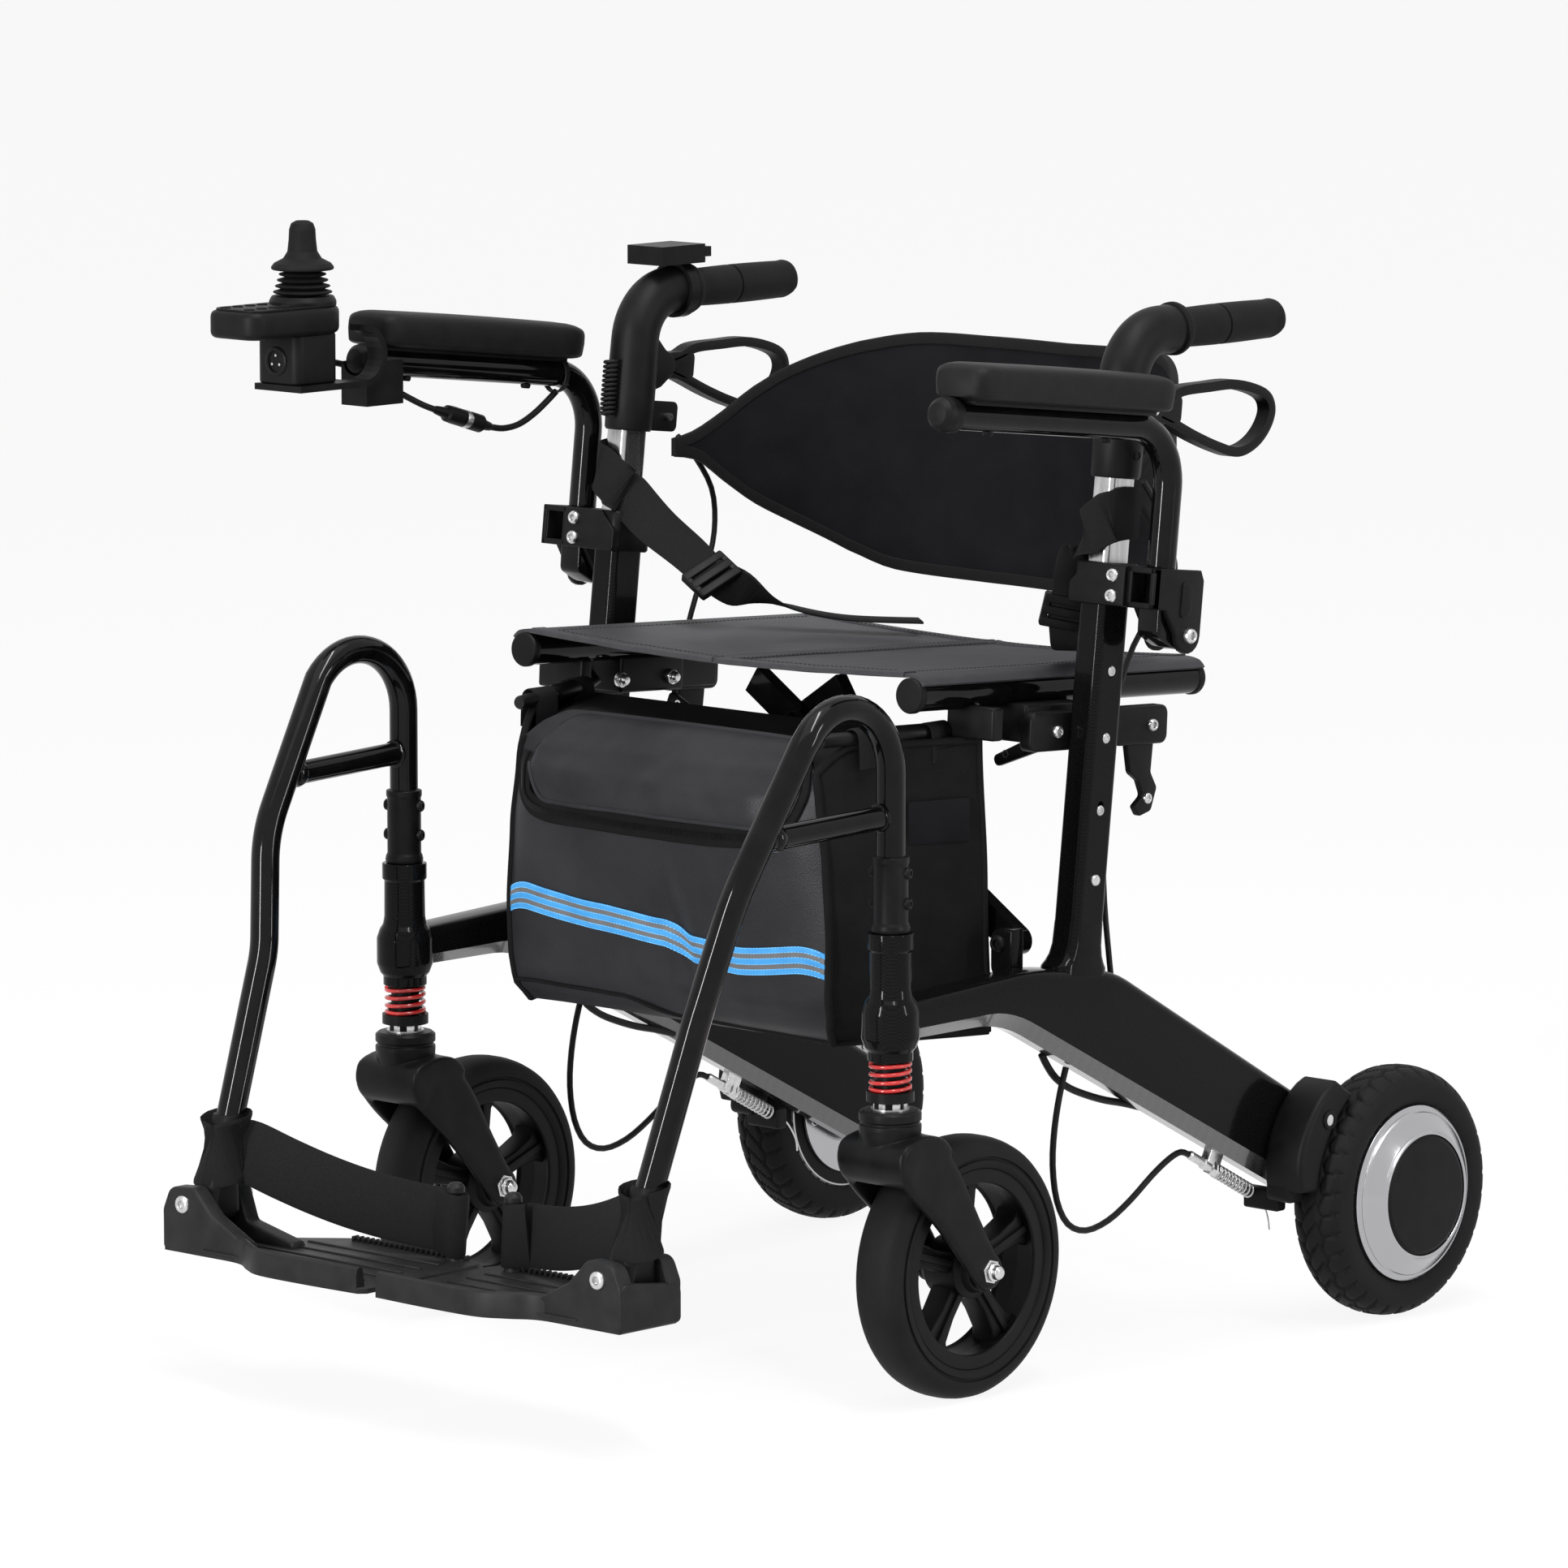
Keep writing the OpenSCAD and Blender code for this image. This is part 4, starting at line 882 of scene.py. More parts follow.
def rear_wheel(side):
    hub = side.at(REAR_X, REAR_Y, REAR_R)
    wall = [(70, -20), (72, -22), (76, -23.4), (82, -24), (86, -23.7)]
    crown = [(88, -23.2), (92, -21), (95, -17.6), (97, -13.6), (98.2, -9), (98.8, -5), (99, 0)]
    tread = []
    for k in range(-36, 37):
        h = k * 0.64
        a, b = next((a, b) for a, b in zip(crown, crown[1:]) if -abs(h) <= b[1] + 1e-6)
        tread.append((a[0] + (b[0] - a[0]) * max(0, (-abs(h) - a[1]) / (b[1] - a[1])), h))
    rim = [Y * c + Z * d for c, d in circle(TREAD_POINTS)]
    skin([[hub + (side.out * h + d * (r - tread_cut(k, h))) * MM for k, d in enumerate(rim)]
          for r, h in wall + tread + [(r, -h) for r, h in reversed(wall)]], cap=False)
    side.piece("rear_tyre_skin", TYRE, "rear_wheel", "rear_tyre", sharp=45)
    lathe([(47.8, 33), (47.8, 37.4), (49.6, 37.4), (50.4, 36), (52, 35.8), (64, 27), (65, 25.4), (66.4, 25.8),
           (69.4, 23.4), (70.6, 18), (70.6, -20), (68, -21)], hub, side.out, 128, 0.6)
    lathe([(0, -20), (56, -20), (57.5, -20.6), (58, -22), (57.5, -23.4), (56, -23.9), (12, -23.9), (11, -23)],
          hub, side.out, 96)
    for k in range(6):
        q = TAU * (k + 0.2) / 6
        bolt(hub + (side.out * -23.8 + (Y * math.cos(q) + Z * math.sin(q)) * 48) * MM, -side.out, 3.4, 1.2)
    side.piece("hub_ring", CHROME, "rear_wheel", "rear_hub", sharp=30)
    lathe([(0, 38.4), (44, 37.6), (47.4, 36.4), (47.9, 33), (40, 30), (0, 30)], hub, side.out, 96, 0.8)
    lathe(rect(57.8, -19, 70, -20.5), hub, side.out, 96)
    side.piece("hub_cap", PLASTIC_DARK, "rear_wheel")


SPRING_TILT = math.radians(117.9)
SHOE_LOW, SHOE_HIGH = 4.8, 34
PIN_Y, PIN_Z = 453, 172


def brake(side):
    start = side.at(HEAD_X, 372, 134.5)
    axis = Vector((0, math.sin(SPRING_TILT), math.cos(SPRING_TILT)))
    up = Vector((0, -math.cos(SPRING_TILT), math.sin(SPRING_TILT)))
    coil(start + axis * 0.006, axis, 11, 5, 48, 1.9, 18)
    tube([start + axis * 0.004, start + axis * 0.0545], 0.8, 8)
    side.piece("brake_coil", NICKEL, "frame", "brake_spring")
    lathe([(0, -2), (6, -2), (6, 1), (5.4, 1.6), (5.4, 3), (6, 3.6), (6, 6.5), (0, 6.5)], start, axis, 6)
    lathe([(2.6, -30), (3.6, -28), (3.6, -12), (4.4, -11), (4.4, -2), (2, -2)], start, axis, 20, 0.4)
    plate(corners([(-10, -4), (6, -4), (6, 20), (-10, 15)], 2),
          lambda a, b, x: start + (axis * a + up * b + X * x) * MM, -4, 4, 0.8)
    side.piece("brake_anchor", STEEL, "frame")
    outer = [(173 - k, REAR_R + SHOE_HIGH - 9 * abs(k / 23 - 1) ** 3) for k in range(0, 47, 4)]
    inner = [(125 + k, REAR_R + SHOE_LOW) for k in range(0, 51, 4)]
    saddle = [(REAR_Y + r * math.cos(math.radians(q)), REAR_R + r * math.sin(math.radians(q)))
              for q, r in outer + inner]
    plate(saddle, from_side(side.at), 271, 309, 7, 5)
    plate(corners([(416, 104), (436, 104), (438, 128), (418, 128)], 6), from_side(side.at), 272, 296, 3)
    plate(corners(rect(421, 95.5, 433, 112.5), 2.5), from_side(side.at), 246.4, 280, 1.4)
    lathe([(4.4, 0), (7.6, 0), (7.6, 2.2), (4.6, 2.6), (4.4, 0)], side.at(308.2, 450, 168), side.out, 28, 0.5)
    side.piece("brake_shoe_saddle", PLASTIC, "brake_shoe", "brake_shoe", sharp=40)
    lathe([(0, 0), (4.3, 0), (4.3, 1.2), (2.2, 0.9), (0, 0.9)], side.at(308.4, 450, 168), side.out, 24)
    lathe(rect(0, 239, 3.9, 272), at(0, PIN_Y, PIN_Z), side.out, 20)
    bolt(side.at(239.4, PIN_Y, PIN_Z), -side.out, 6, 3)
    side.piece("shoe_pin", STEEL, "brake_shoe")
    tube(flowing([side.at(*p) for p in ((252, 428, 108), (251, 440, 96), (250, 447, 84), (250, 449, 74))]), 0.7, 8)
    side.piece("brake_wire", STEEL, "brake_shoe")


for side in SIDES:
    caster(side)
    fork(side)
    spring(side)
    rear_wheel(side)
    brake(side)

# Leg rests

LOOP_Z, LOOP_R, LOOP_TURN = 483, 52, 148.8


def leg_rest(side):
    p = side.at
    path = [p(COLUMN_X, 0, 322), p(COLUMN_X, 0, LOOP_Z)]
    path += [p(COLUMN_X, y, z) for y, z in arc(-LOOP_R, LOOP_Z, LOOP_R, [LOOP_TURN * k / 20 for k in range(1, 20)])]
    path += fillet([p(253, -96.5, LOOP_Z + 26.9), p(244, -160, 405), p(226, -180, 318), p(219, -226, 190),
                    p(FOOT_X, FOOT_Y, 142)], [130, 120, 150], 10)
    tube(path, TUBE_R, 28)
    tube([p(249, -130, 446), p(253, -8, 450)], 9, 20)
    for a, b in ((p(249, -126, 446.2), p(249.4, -117, 446.5)), (p(252.6, -13, 449.6), p(252.8, -10, 449.8))):
        tube([a, a.lerp(b, 0.3), a.lerp(b, 0.7), b], [9.4, 10.8, 10.4, 9.2], 20)
    side.piece("leg_rest_tube", PAINT, "leg_rest", "leg_rest", sharp=40)
    lathe([(11, 363.4), (14.4, 363.4), (14.8, 366), (14.2, 369), (13.2, 371), (13.2, 414), (13.9, 416), (13.9, 420),
           (11, 421)], p(COLUMN_X, 0, 0), Z, 36, 0.8)
    side.piece("leg_sleeve", SATIN, "leg_rest")
    for z in (385, 408):
        for q in (0.4, 0.4 + math.pi):
            d = Vector((math.cos(q), math.sin(q), 0))
            bolt(p(COLUMN_X, 0, z) + d * 0.0128, d, 4.6, 3.2)
    side.piece("sleeve_screws", PLASTIC_DARK, "leg_rest")
    foot = [(122, 22, 29, FOOT_Y, FOOT_X), (127, 28, 33, FOOT_Y, FOOT_X), (150, 26, 30, -240, 217.5),
            (168, 25, 26, -234.5, 218), (196, 24, 24, -225.5, 219), (199, 23, 23, -224.5, 219)]
    skin([[p(x + u, y + v, z) for u, v in rrect(w, d, 9 if z > 140 else 6)] for z, w, d, y, x in foot])
    side.piece("leg_foot", PLASTIC, "leg_rest")


def footplate(side):
    p = side.at
    front = pairs(flowing(flat([(10, -298), (60, -300), (112, -299), (136, -289), (158, -277), (200, -276),
                                (238, -276)]), 5))
    back = [(239, -216), (232, -210), (200, -206), (150, -164), (24, -163), (8, -166), (4, -176)]
    plate([(4, -292)] + front + back, p, 98, 103, 1.6)
    rim = [(-3.5, 98.4), (-3.6, 112), (-2.4, 116.5), (0.2, 118), (3, 116.8), (4, 112), (5, 102)]
    skin([[p(x, y + 3.5 + a, b) for a, b in rim] for x, y in front])
    for low, high, slope in ((-276.4, -262, [(206, 150), (186, 130), (150, 112)]),
                             (-226.4, -212, [(211, 148), (200, 118), (150, 107)])):
        cheek = corners([(150, 99), (239, 99), (240, 130), (232, 148)] + slope, [2, 6, 10, 10, 10, 5, 6])
        plate(cheek, from_front(p), low, high, 2.2)
    plate(corners([(-276, 99), (-212, 99), (-212, 128), (-276, 136)], [4, 4, 8, 8]), from_side(p), 234, 240, 1.6)
    for k in range(22):
        x = 22 + k * 5.6
        block(p, (x, -172, 102), (x + 2.6, -165, 106.5), 0.6, 1)
    for k in range(5):
        block(p, (24, -278 + k * 20, 102.5), (196 - k * 8, -274 + k * 20, 104.2), 0.8, 1)
    lathe([(0, 100), (8, 102), (6.2, 108), (5, 114), (4.6, 153), (6.8, 155), (6.8, 159), (4.6, 162), (0, 163)],
          p(30, -172, 0), Z, 20, 1)
    side.piece("footplate_tray", PLATE, "footplate", "footplate", sharp=40)
    bolt(p(FOOT_X, -276.4, FOOT_Z), -Y, 7, 3.4)
    bolt(p(FOOT_X, -211.8, FOOT_Z), Y, 7, 3.4)
    side.piece("foot_bolts", STEEL, "footplate")


STRAP_W, STRAP_TILT = 48, 0.37


def heel_strap(side):
    p = side.at
    a, b = Vector((200, -222, 171)), Vector((42, -168, 131))
    route = [(205.6, -239, 172), (203, -230, 172)]
    for k in range(7):
        v, sag = a.lerp(b, k / 6), math.sin(math.pi * k / 6)
        route.append((v.x, v.y + 2 * sag, v.z - 8 * sag))
    route += [(34, -164.6, 129.6), (26, -166, 129), (22.6, -172, 129), (26, -178, 129.5), (34, -178.6, 130.5),
              (48, -175, 132)]
    path = flowing([p(*q) for q in route], 5)
    n = len(path)
    strap(path, STRAP_W, 2.6, [(Z + Y * (STRAP_TILT * (1 - k / n))).normalized() for k in range(n)])
    obj = side.piece("heel_webbing", WEBBING, None, "heel_strap", hold=blended(
        side.node("leg_rest"), side.node("footplate"), p(203, -218, 175), p(40, -170, 131)))
    run(path)
    side.node("leg_rest")
    strap([p(218.2 + 14 * c, -233 + 15 * d, 174 + 15 * d * STRAP_TILT) for c, d in circle(24, 25)], STRAP_W, 2.2,
          (Z + Y * STRAP_TILT).normalized())
    side.piece("strap_wrap", WEBBING, "leg_rest")


for side in SIDES:
    leg_rest(side)
    footplate(side)
    heel_strap(side)

# Armrests

PAD_X, PAD_W, PAD_LEN, PAD_FRONT, PAD_SEAM = 306, 27, 228, -250, 431
CLAMP_LOW, CLAMP_HIGH = 276.4, 307.6


def pad_ring(t, place):
    """One ring of the pad, a crowned cushion whose sides draw in along their middle; t runs along it."""
    end = math.sqrt(max(0.0, 1 - (1 - min(min(t, 1 - t) * PAD_LEN / 20, 1)) ** 2))
    swell = math.sin(math.pi * t)
    w = PAD_W - 9 * (1 - end) - 1.2 * swell
    low, high = 424.4 + 2.5 * (1 - end), 452 - 6 * (1 - end) + 0.9 * swell
    ring = []
    for c, d in circle(40):
        u = w * math.copysign(abs(c) ** 0.42, c)
        v = (low + high) / 2 + (high - low) / 2 * math.copysign(abs(d) ** 0.42, d)
        if d > 0:
            v += 1.3 * (1 - (u / PAD_W) ** 2) - 0.6
        u -= math.copysign(0.9 * math.exp(-((v - PAD_SEAM) / 2.2) ** 2), u)
        ring.append(place(PAD_X + u, PAD_FRONT + PAD_LEN * t, v))
    return ring


def armrest(side):
    p = side.leaned
    back, up = p(0, 1, 0) - p(0, 0, 0), p(0, 0, 1) - p(0, 0, 0)
    tube(fillet([p(ARM_X, ARM_POST, 276), p(ARM_X, ARM_POST, ARM_RISE), p(ARM_X, -249, ARM_RISE)], [ARM_BEND], 14),
         TUBE_R, 28)
    plate(corners([(-5, 284), (-4, 256), (14, 248), (24, 246), (36, 258), (28, 270), (17, 284)],
                  [3, 6, 4, 10, 11, 8, 3]), from_side(p), 291.2, 312.8, 2)
    side.piece("armrest_bar", PAINT, "armrest", "armrest_tube")
    lathe([(11, 10), (13, 10), (13.4, 6), (13.4, 0), (12, -5), (8.6, -8.6), (0, -10)], p(ARM_X, -255, ARM_RISE), back,
          32, 1.5)
    side.piece("armrest_cap", PLASTIC, "armrest")
    skin([pad_ring(i / 44, p) for i in range(45)])
    side.piece("armrest_cushion", FOAM, "armrest", "armrest_pad", sharp=60)
    block(p, (294, -240, 421.5), (318, -32, 426), 1.2)
    for y in (-205, -70):
        bolt(p(ARM_X, y, ARM_RISE - TUBE_R), -up, 4, 3)
    side.piece("pad_base", PLASTIC_DARK, "armrest")
    # The clamp round the column: a plate with two screws, an open bracket and the yoke's outer cheek
    sleeve = [(31, 40, 276), (33, 42, 277.6), (33, 42, 306.4), (31.4, 40.4, 308), (21.4, 29.4, 308), (21.4, 29.4, 276)]
    skin([[p(HEAD_X + u, v, z) for u, v in rrect(w, d, 7)] for w, d, z in sleeve], loop=True)
    plate(corners([(238, CLAMP_LOW), (292, CLAMP_LOW), (292, CLAMP_HIGH), (253, CLAMP_HIGH), (238, 292)],
                  [3, 1, 1, 4, 4]), from_front(p), -24, -14, 1.2)
    block(p, (268, -16, 277), (290.5, 24, 307), 1.4)
    for x0, x1, z0, z1 in ((293, 319, CLAMP_LOW, 281), (293, 319, 303, CLAMP_HIGH), (293, 297, CLAMP_LOW, CLAMP_HIGH),
                           (314.6, 319, CLAMP_LOW, CLAMP_HIGH)):
        block(p, (x0, -21, z0), (x1, -13, z1), 0.9)
    block(p, (290, -20, 277), (294, -12, 307), 0.6)
    cheek = [(-20, CLAMP_HIGH), (34, CLAMP_HIGH), (38, 300)] + arc(YOKE_Y, YOKE_Z, YOKE_R, range(0, -181, -20))
    cheek += [(2, 268), (-4, CLAMP_LOW), (-20, CLAMP_LOW)]
    for low, high in ((285.6, 290.6), (313.6, 319)):
        plate(cheek, from_side(p), low, high, 1.2)
    plate(corners([(12, 270), (24, 274), (24, 296), (12, 300)], [3, 3, 5, 4]), from_side(p), 318, 320.4, 1)
    side.piece("clamp_bracket", PLASTIC_DARK, "frame", "column_clamp", sharp=40)
    for z in (284, 299.6):
        bolt(p(281, -24, z), -back, 5.4, 3.6)
    bolt(p(319, YOKE_Y, YOKE_Z), side.out, 6, 5)
    side.piece("clamp_screws", STEEL, "frame")


for side in SIDES:
    armrest(side)

# Handles

BAND_BOLT_Y, BAND_BOLT_Z = 30, HOUSE_LOW + 13
GRIP_SLANT = 0.6


def handle(side):
    p = side.leaned
    path = [p(COLUMN_X, ELBOW_Y, z) for z in (HOUSE_LOW, HOUSE_LOW + 2, HOUSE_LOW + 26, HOUSE_LOW + 46, ELBOW_Z)]
    radii = [17.6, 18.8, 19.4, 19.4, 19]
    for k in range(1, 15):
        q = (math.pi / 2 - LEAN) * k / 14
        path.append(p(COLUMN_X, ELBOW_Y + ELBOW_R - ELBOW_R * math.cos(q), ELBOW_Z + ELBOW_R * math.sin(q)))
        radii.append(19 - 0.4 * k / 14)
    end = path[-1]
    tube(path + [end + Y * (d * MM) for d in (4, 9, 12.6)], radii + [18.6, 18.8, 18.2], 40)
    cheek = corners([(y, HOUSE_LOW + z) for y, z in [(8, 30), (24, 36), (38, 48), (38, 60), (26, 66), (8, 82)]],
                    [2, 8, 8, 8, 8, 4])
    for low, high in ((-11.4, -7.8), (7.8, 11.4)):
        plate(cheek, from_side(p), COLUMN_X + low, COLUMN_X + high, 1.2)
    bracket = corners(rect(6, HOUSE_LOW + 1, 43, HOUSE_LOW + 25), [0, 5, 5, 0])
    plate(bracket, from_side(p), COLUMN_X - 13.4, COLUMN_X - 9, 1)
    side.piece("housing_shell", PLASTIC, "handle", "handle_housing")
    for y, z, r in ((4, HOUSE_LOW + 56, 6.5), (2, HOUSE_LOW + 18, 4)):
        lathe([(0, -3), (r, -3), (r, 0.4), (r - 0.8, 0.8), (r - 0.8, 0.2), (0, 0.2)], p(COLUMN_X + 19, y, z),
              side.out, 28)
    side.piece("housing_plugs", PLASTIC_DARK, "handle")
    bolt(p(COLUMN_X - 9, BAND_BOLT_Y, BAND_BOLT_Z), side.out, 6.5, 4)
    lathe(rect(0, 0, 3, 9.5), p(COLUMN_X - 18.2, BAND_BOLT_Y, BAND_BOLT_Z), side.out, 16)
    bolt(p(COLUMN_X + 11.4, LEVER_Y, LEVER_Z), side.out, 4.4, 2.6)
    side.piece("band_bolt", STEEL, "handle")
    # Grip: flange, waisted sleeve with one groove, and a slanted end
    sleeve = [(0, 0), (18.5, 0), (20.4, 1), (20.6, 4), (19.6, 6.6), (16.2, 7.6), (15.6, 9)]
    for k in range(23):
        d = 11 + k * 4.65
        sleeve.append((GRIP_R - 0.5 + 0.7 * math.sin(math.pi * k / 22), d))
        if k == 9:
            sleeve += [(GRIP_R + 0.1, d + 1.2), (GRIP_R - 1.4, d + 1.7), (GRIP_R - 1.4, d + 3), (GRIP_R + 0.1, d + 3.5)]
    sleeve += [(GRIP_R, 118), (GRIP_R - 0.6, 120.6), (GRIP_R - 2, 121.8), (0, GRIP_LEN)]
    face = end + Y * (FLANGE_GAP * MM)
    lathe(sleeve, face, Y, 40)
    bmesh.ops.bisect_plane(work, geom=work.verts[:] + work.edges[:] + work.faces[:],
                           plane_co=face + Vector((0, GRIP_LEN - 8, -GRIP_R)) * MM,
                           plane_no=Vector((0, math.cos(GRIP_SLANT), -math.sin(GRIP_SLANT))), clear_outer=True)
    bmesh.ops.holes_fill(work, edges=[e for e in work.edges if e.is_boundary], sides=0)
    side.piece("grip_sleeve", RUBBER, "handle", "grip", sharp=50)
    # Loop brake lever: a band round its finger gap, drawn together at the pivot
    loop = [(LEVER_Y, -1), (54, -8), (84, -17.5), (114, -25), (138, -28), (158, -20), (171, -6), (174, 8), (163, 18.5),
            (130, 23.5), (96, 20), (66, 15.6), (50, 8), (LEVER_Y, 1)]
    strap([p(COLUMN_X, v.x, v.y) for v in flowing([Vector((y, LEVER_Z + z, 0)) for y, z in loop], 5)], 14, 7.5, X)
    hub = [(y, LEVER_Z + z) for y, z in [(20, -8), (40, -10), (66, -11), (66, 14), (40, 11), (20, 8)]]
    plate(corners(hub, [6, 10, 6, 6, 10, 6]), from_side(p), COLUMN_X - 7, COLUMN_X + 7, 2)
    side.piece("lever_loop", PLASTIC, "brake_lever", "brake_lever", sharp=50)


for side in SIDES:
    handle(side)

# Seat rails: tube and caps, the saddle behind the column, the drilled link, the fold latch and the bag's rod


def bag_rod(s):
    """The ends of the rod that the bag hangs from."""
    return at(s * 158, 30, 494), at(s * 192, 141, 494)


def seat_rail(side):
    p = side.on_rail
    tube([p(RAIL_X, y, 0) for y in (-1, 60, 160, 260, RAIL_LEN + 1)], RAIL_R, 36)
    side.piece("rail_tube", PAINT, "frame", "seat_rail")
    back = p(0, 1, 0) - p(0, 0, 0)
    for y, way in ((0, -1), (RAIL_LEN, 1)):
        lathe([(0, -3), (12.8, -3), (13.6, -1), (13.6, 2.6), (12.6, 4.2), (0, 4.4)], p(RAIL_X, y, 0), back * way,
              36, 0.6)
    side.piece("rail_caps", PLASTIC, "frame")
    for low, high in ((92, 146), (190, 252)):
        plate(corners(rect(low, -44, high, -14), 7), from_side(p), 229, 241.4, 2)
    block(p, (226, 100, -41), (236, 246, -17), 1.5)
    block(p, (191, 98, -38), (230, 170, -9), 2.5)
    block(p, (190, 52, -34), (238, 64, -9), 2.5)
    link = corners([(-6, -20), (-48, -36), (-52, -28), (-10, -8)], 4)
    plate(link, lambda x, z, y: p(RAIL_X + x, y, z - 30), 154, 159, 1)
    side.piece("saddle", SATIN, "frame")
    hook = corners([(208, -40), (240, -40), (238, -66), (246, -78), (240, -96), (226, -100), (220, -92), (230, -84),
                    (224, -72), (214, -66)], [4, 4, 5, 4, 5, 4, 2, 3, 4, 6])
    plate(hook, from_side(p), 232, 238, 1.2)
    side.piece("fold_latch", PLASTIC, "frame")
    bolt(p(238, 234, -86), side.out, 4.4, 2.6)
    side.piece("latch_bolt", STEEL, "frame")
    for y in (121, 232):
        bolt(p(241, y, -29), side.out, 5, 4.2)
    for y in (96, 154):
        lathe([(0, -1), (6, -1), (6, 3), (4.6, 3.4), (4.4, 6), (3, 8), (0, 8.6)], p(190.4, y, -27), -side.out, 24, 0.5)
    for x, z in ((-20, -48), (-38, -55)):
        lathe(rect(1.9, -0.4, 3.2, 0.5), p(RAIL_X + x, 153.6, z), -Y, 20)
    side.piece("saddle_bolts", STEEL, "frame")
    a, b = bag_rod(side.s)
    tube([a.lerp(b, f) for f in (0, 0.02, 0.5, 0.98, 1)], [4.4, 5.5, 5.5, 5.5, 4.4], 24)
    tube([a.lerp(b, f) for f in (0.5, 0.52, 0.93, 0.95)], [6, 7.4, 7.4, 6], 24)
    tube([b, b + Vector((side.s * 2, 12, 1)) * MM, p(RAIL_X + 6, 64, -12)], 5, 16)
    side.piece("bag_rod", SATIN, "frame")


for side in SIDES:
    seat_rail(side)

# Seat: two halves of coated cloth round the rails, sewn together at the middle

SEAT_LOW, SEAT_T, SEAT_SAG, SEAT_EDGE = 13.2, 3.2, 6.5, RAIL_X - 5
SEAT_ROWS = [-1.5 + (RAIL_LEN + 3) * i / 40 for i in range(41)]
STITCH = 4.6


def seat_top(x, y):
    """Height of the seat's upper face above the rails' middle line."""
    f = min(x / SEAT_EDGE, 1)
    pull = 1.5 * math.sin(TAU * (y / RAIL_LEN * 1.5 + 0.1)) * f * (1 - f) * 2
    crease = 0.7 * noise.noise(Vector((x / 38, y / 60, 2.0))) * (1 - f ** 4)
    return SEAT_LOW + SEAT_T - SEAT_SAG * (1 - f * f) + pull + crease + 1.1 * math.exp(-((x - 4) / 2.6) ** 2)


def with_seat(side):
    """A hold for a piece on one half of the seat, which bakes its placing into its mesh."""
    return blended(side.node("brace"), side.node("frame"), side.on_rail(60, 160, 14), side.on_rail(195, 160, 14))


def seat_half(side):
    p, hold = side.on_rail, with_seat(side)
    rings = []
    for y in SEAT_ROWS:
        top = [(SEAT_EDGE * k / 24, seat_top(SEAT_EDGE * k / 24, y)) for k in range(25)]
        low = [(x, z - SEAT_T) for x, z in top]
        for k in range(1, 9):
            q = math.radians(90 - k * 7)
            x = SEAT_EDGE + (RAIL_X - SEAT_EDGE) * min(1, k / 4)
            for layer, r in ((top, RAIL_R + 3.9), (low, RAIL_R + 1.2)):
                layer.append((x + r * math.cos(q), r * math.sin(q)))
        rings.append([p(x, y, z) for x, z in top + low[::-1]])
    skin(rings)
    # The left half stands for the whole CAD seat
    obj = piece(side.node("seat_cloth"), LEATHER, None, "seat" if side is LEFT else None, 40, hold)
    side.node("seat_rail")
    # Front and rear hems, and the rows of stitches beside the seam, the hems and the rails
    for a, b in ((-2.6, 12), (RAIL_LEN - 12, RAIL_LEN + 2.6)):
        section = [(a, -2.6), (a, 0.5), (a + 0.8, 1.3), (b - 0.8, 1.3), (b, 0.2), (b - 1, -0.6), (a + 2, -2.6)]
        grid = []
        for i in range(31):
            x = 2 + (SEAT_EDGE - 4) * i / 30
            middle_z = seat_top(x, min(max((a + b) / 2, 0), RAIL_LEN))
            grid.append([p(x, y, middle_z + z) for y, z in section])
        skin(grid)
    side.piece("seat_hems", LEATHER, None, hold=hold)
    rows = [[(x, 16 + STITCH * k, rise) for k in range(64)] for x, rise in ((9, 1.0), (SEAT_EDGE - 13, 0))]
    rows += [[(8 + STITCH * k, y, 1.3) for k in range(38)] for y in (9.5, RAIL_LEN - 9.5)]
    for row in rows:
        points = [p(x, y, seat_top(x, y) + rise) for x, y, rise in row]
        for a, b in zip(points, points[1:]):
            tube([a, a.lerp(b, 0.3) + Z * 0.0003, a.lerp(b, 0.65)], 0.35, 5)
    side.piece("seat_stitches", THREAD, None, hold=hold)


for side in SIDES:
    seat_half(side)
# The middle seam: a sewn strip that bridges the halves
grid = []
for y in SEAT_ROWS:
    top = [(x, seat_top(abs(x), y) + 0.9) for x in range(-10, 11, 2)]
    grid.append([on_rail(x, y, z) for x, z in top] + [on_rail(x, y, z - 1.4) for x, z in reversed(top)])
skin(grid)
piece("seat_seam", LEATHER, None,
      hold=blended("left_brace", "right_brace", on_rail(9, 160, 14), on_rail(-9, 160, 14)))

# Back band: one curved sheet with a piped edge, whose edges are read by the angle from straight behind

BAND_HIGH = [(0, 749), (18, 751), (33, 752.5), (45, 745), (55, 733), (64, 716), (77, 684), (85, 674)]
BAND_LOW = [(0, 551), (18, 554), (30, 558), (39, 564), (47, 578), (53, 591), (60, 605), (67, 620), (74, 640), (79, 655),
            (85, 660)]
BAND_SPAN = 85
BAND_HEM = [(0, -0.8), (2.6, -0.2), (3.2, 2), (3.4, 8), (2.6, 9), (-2.2, 9), (-3, 8), (-3.2, 2), (-2.6, -0.2)]
band_hold = squashed("fold", (1, 0, 0), at(-COLUMN_X, BAND_Y, 690), 0.465)


def flowing_read(table, t):
    """A table read along a flowing line."""
    for i in range(len(table) - 1):
        (a, p), (b, q) = table[i], table[i + 1]
        if t <= b:
            before, after = table[max(i - 1, 0)][1], table[min(i + 2, len(table) - 1)][1]
            f = (t - a) / (b - a)
            return flowing([Vector((v, 0, 0)) for v in (before, p, q, after)], 100)[100 + min(99, int(f * 100))].x
    return table[-1][1]


def on_band(q, r, z):
    """A point of the back band: its angle from straight behind, its distance from the band's axis and its height."""
    return at(r * math.sin(q), BAND_Y + r * math.cos(q), z)


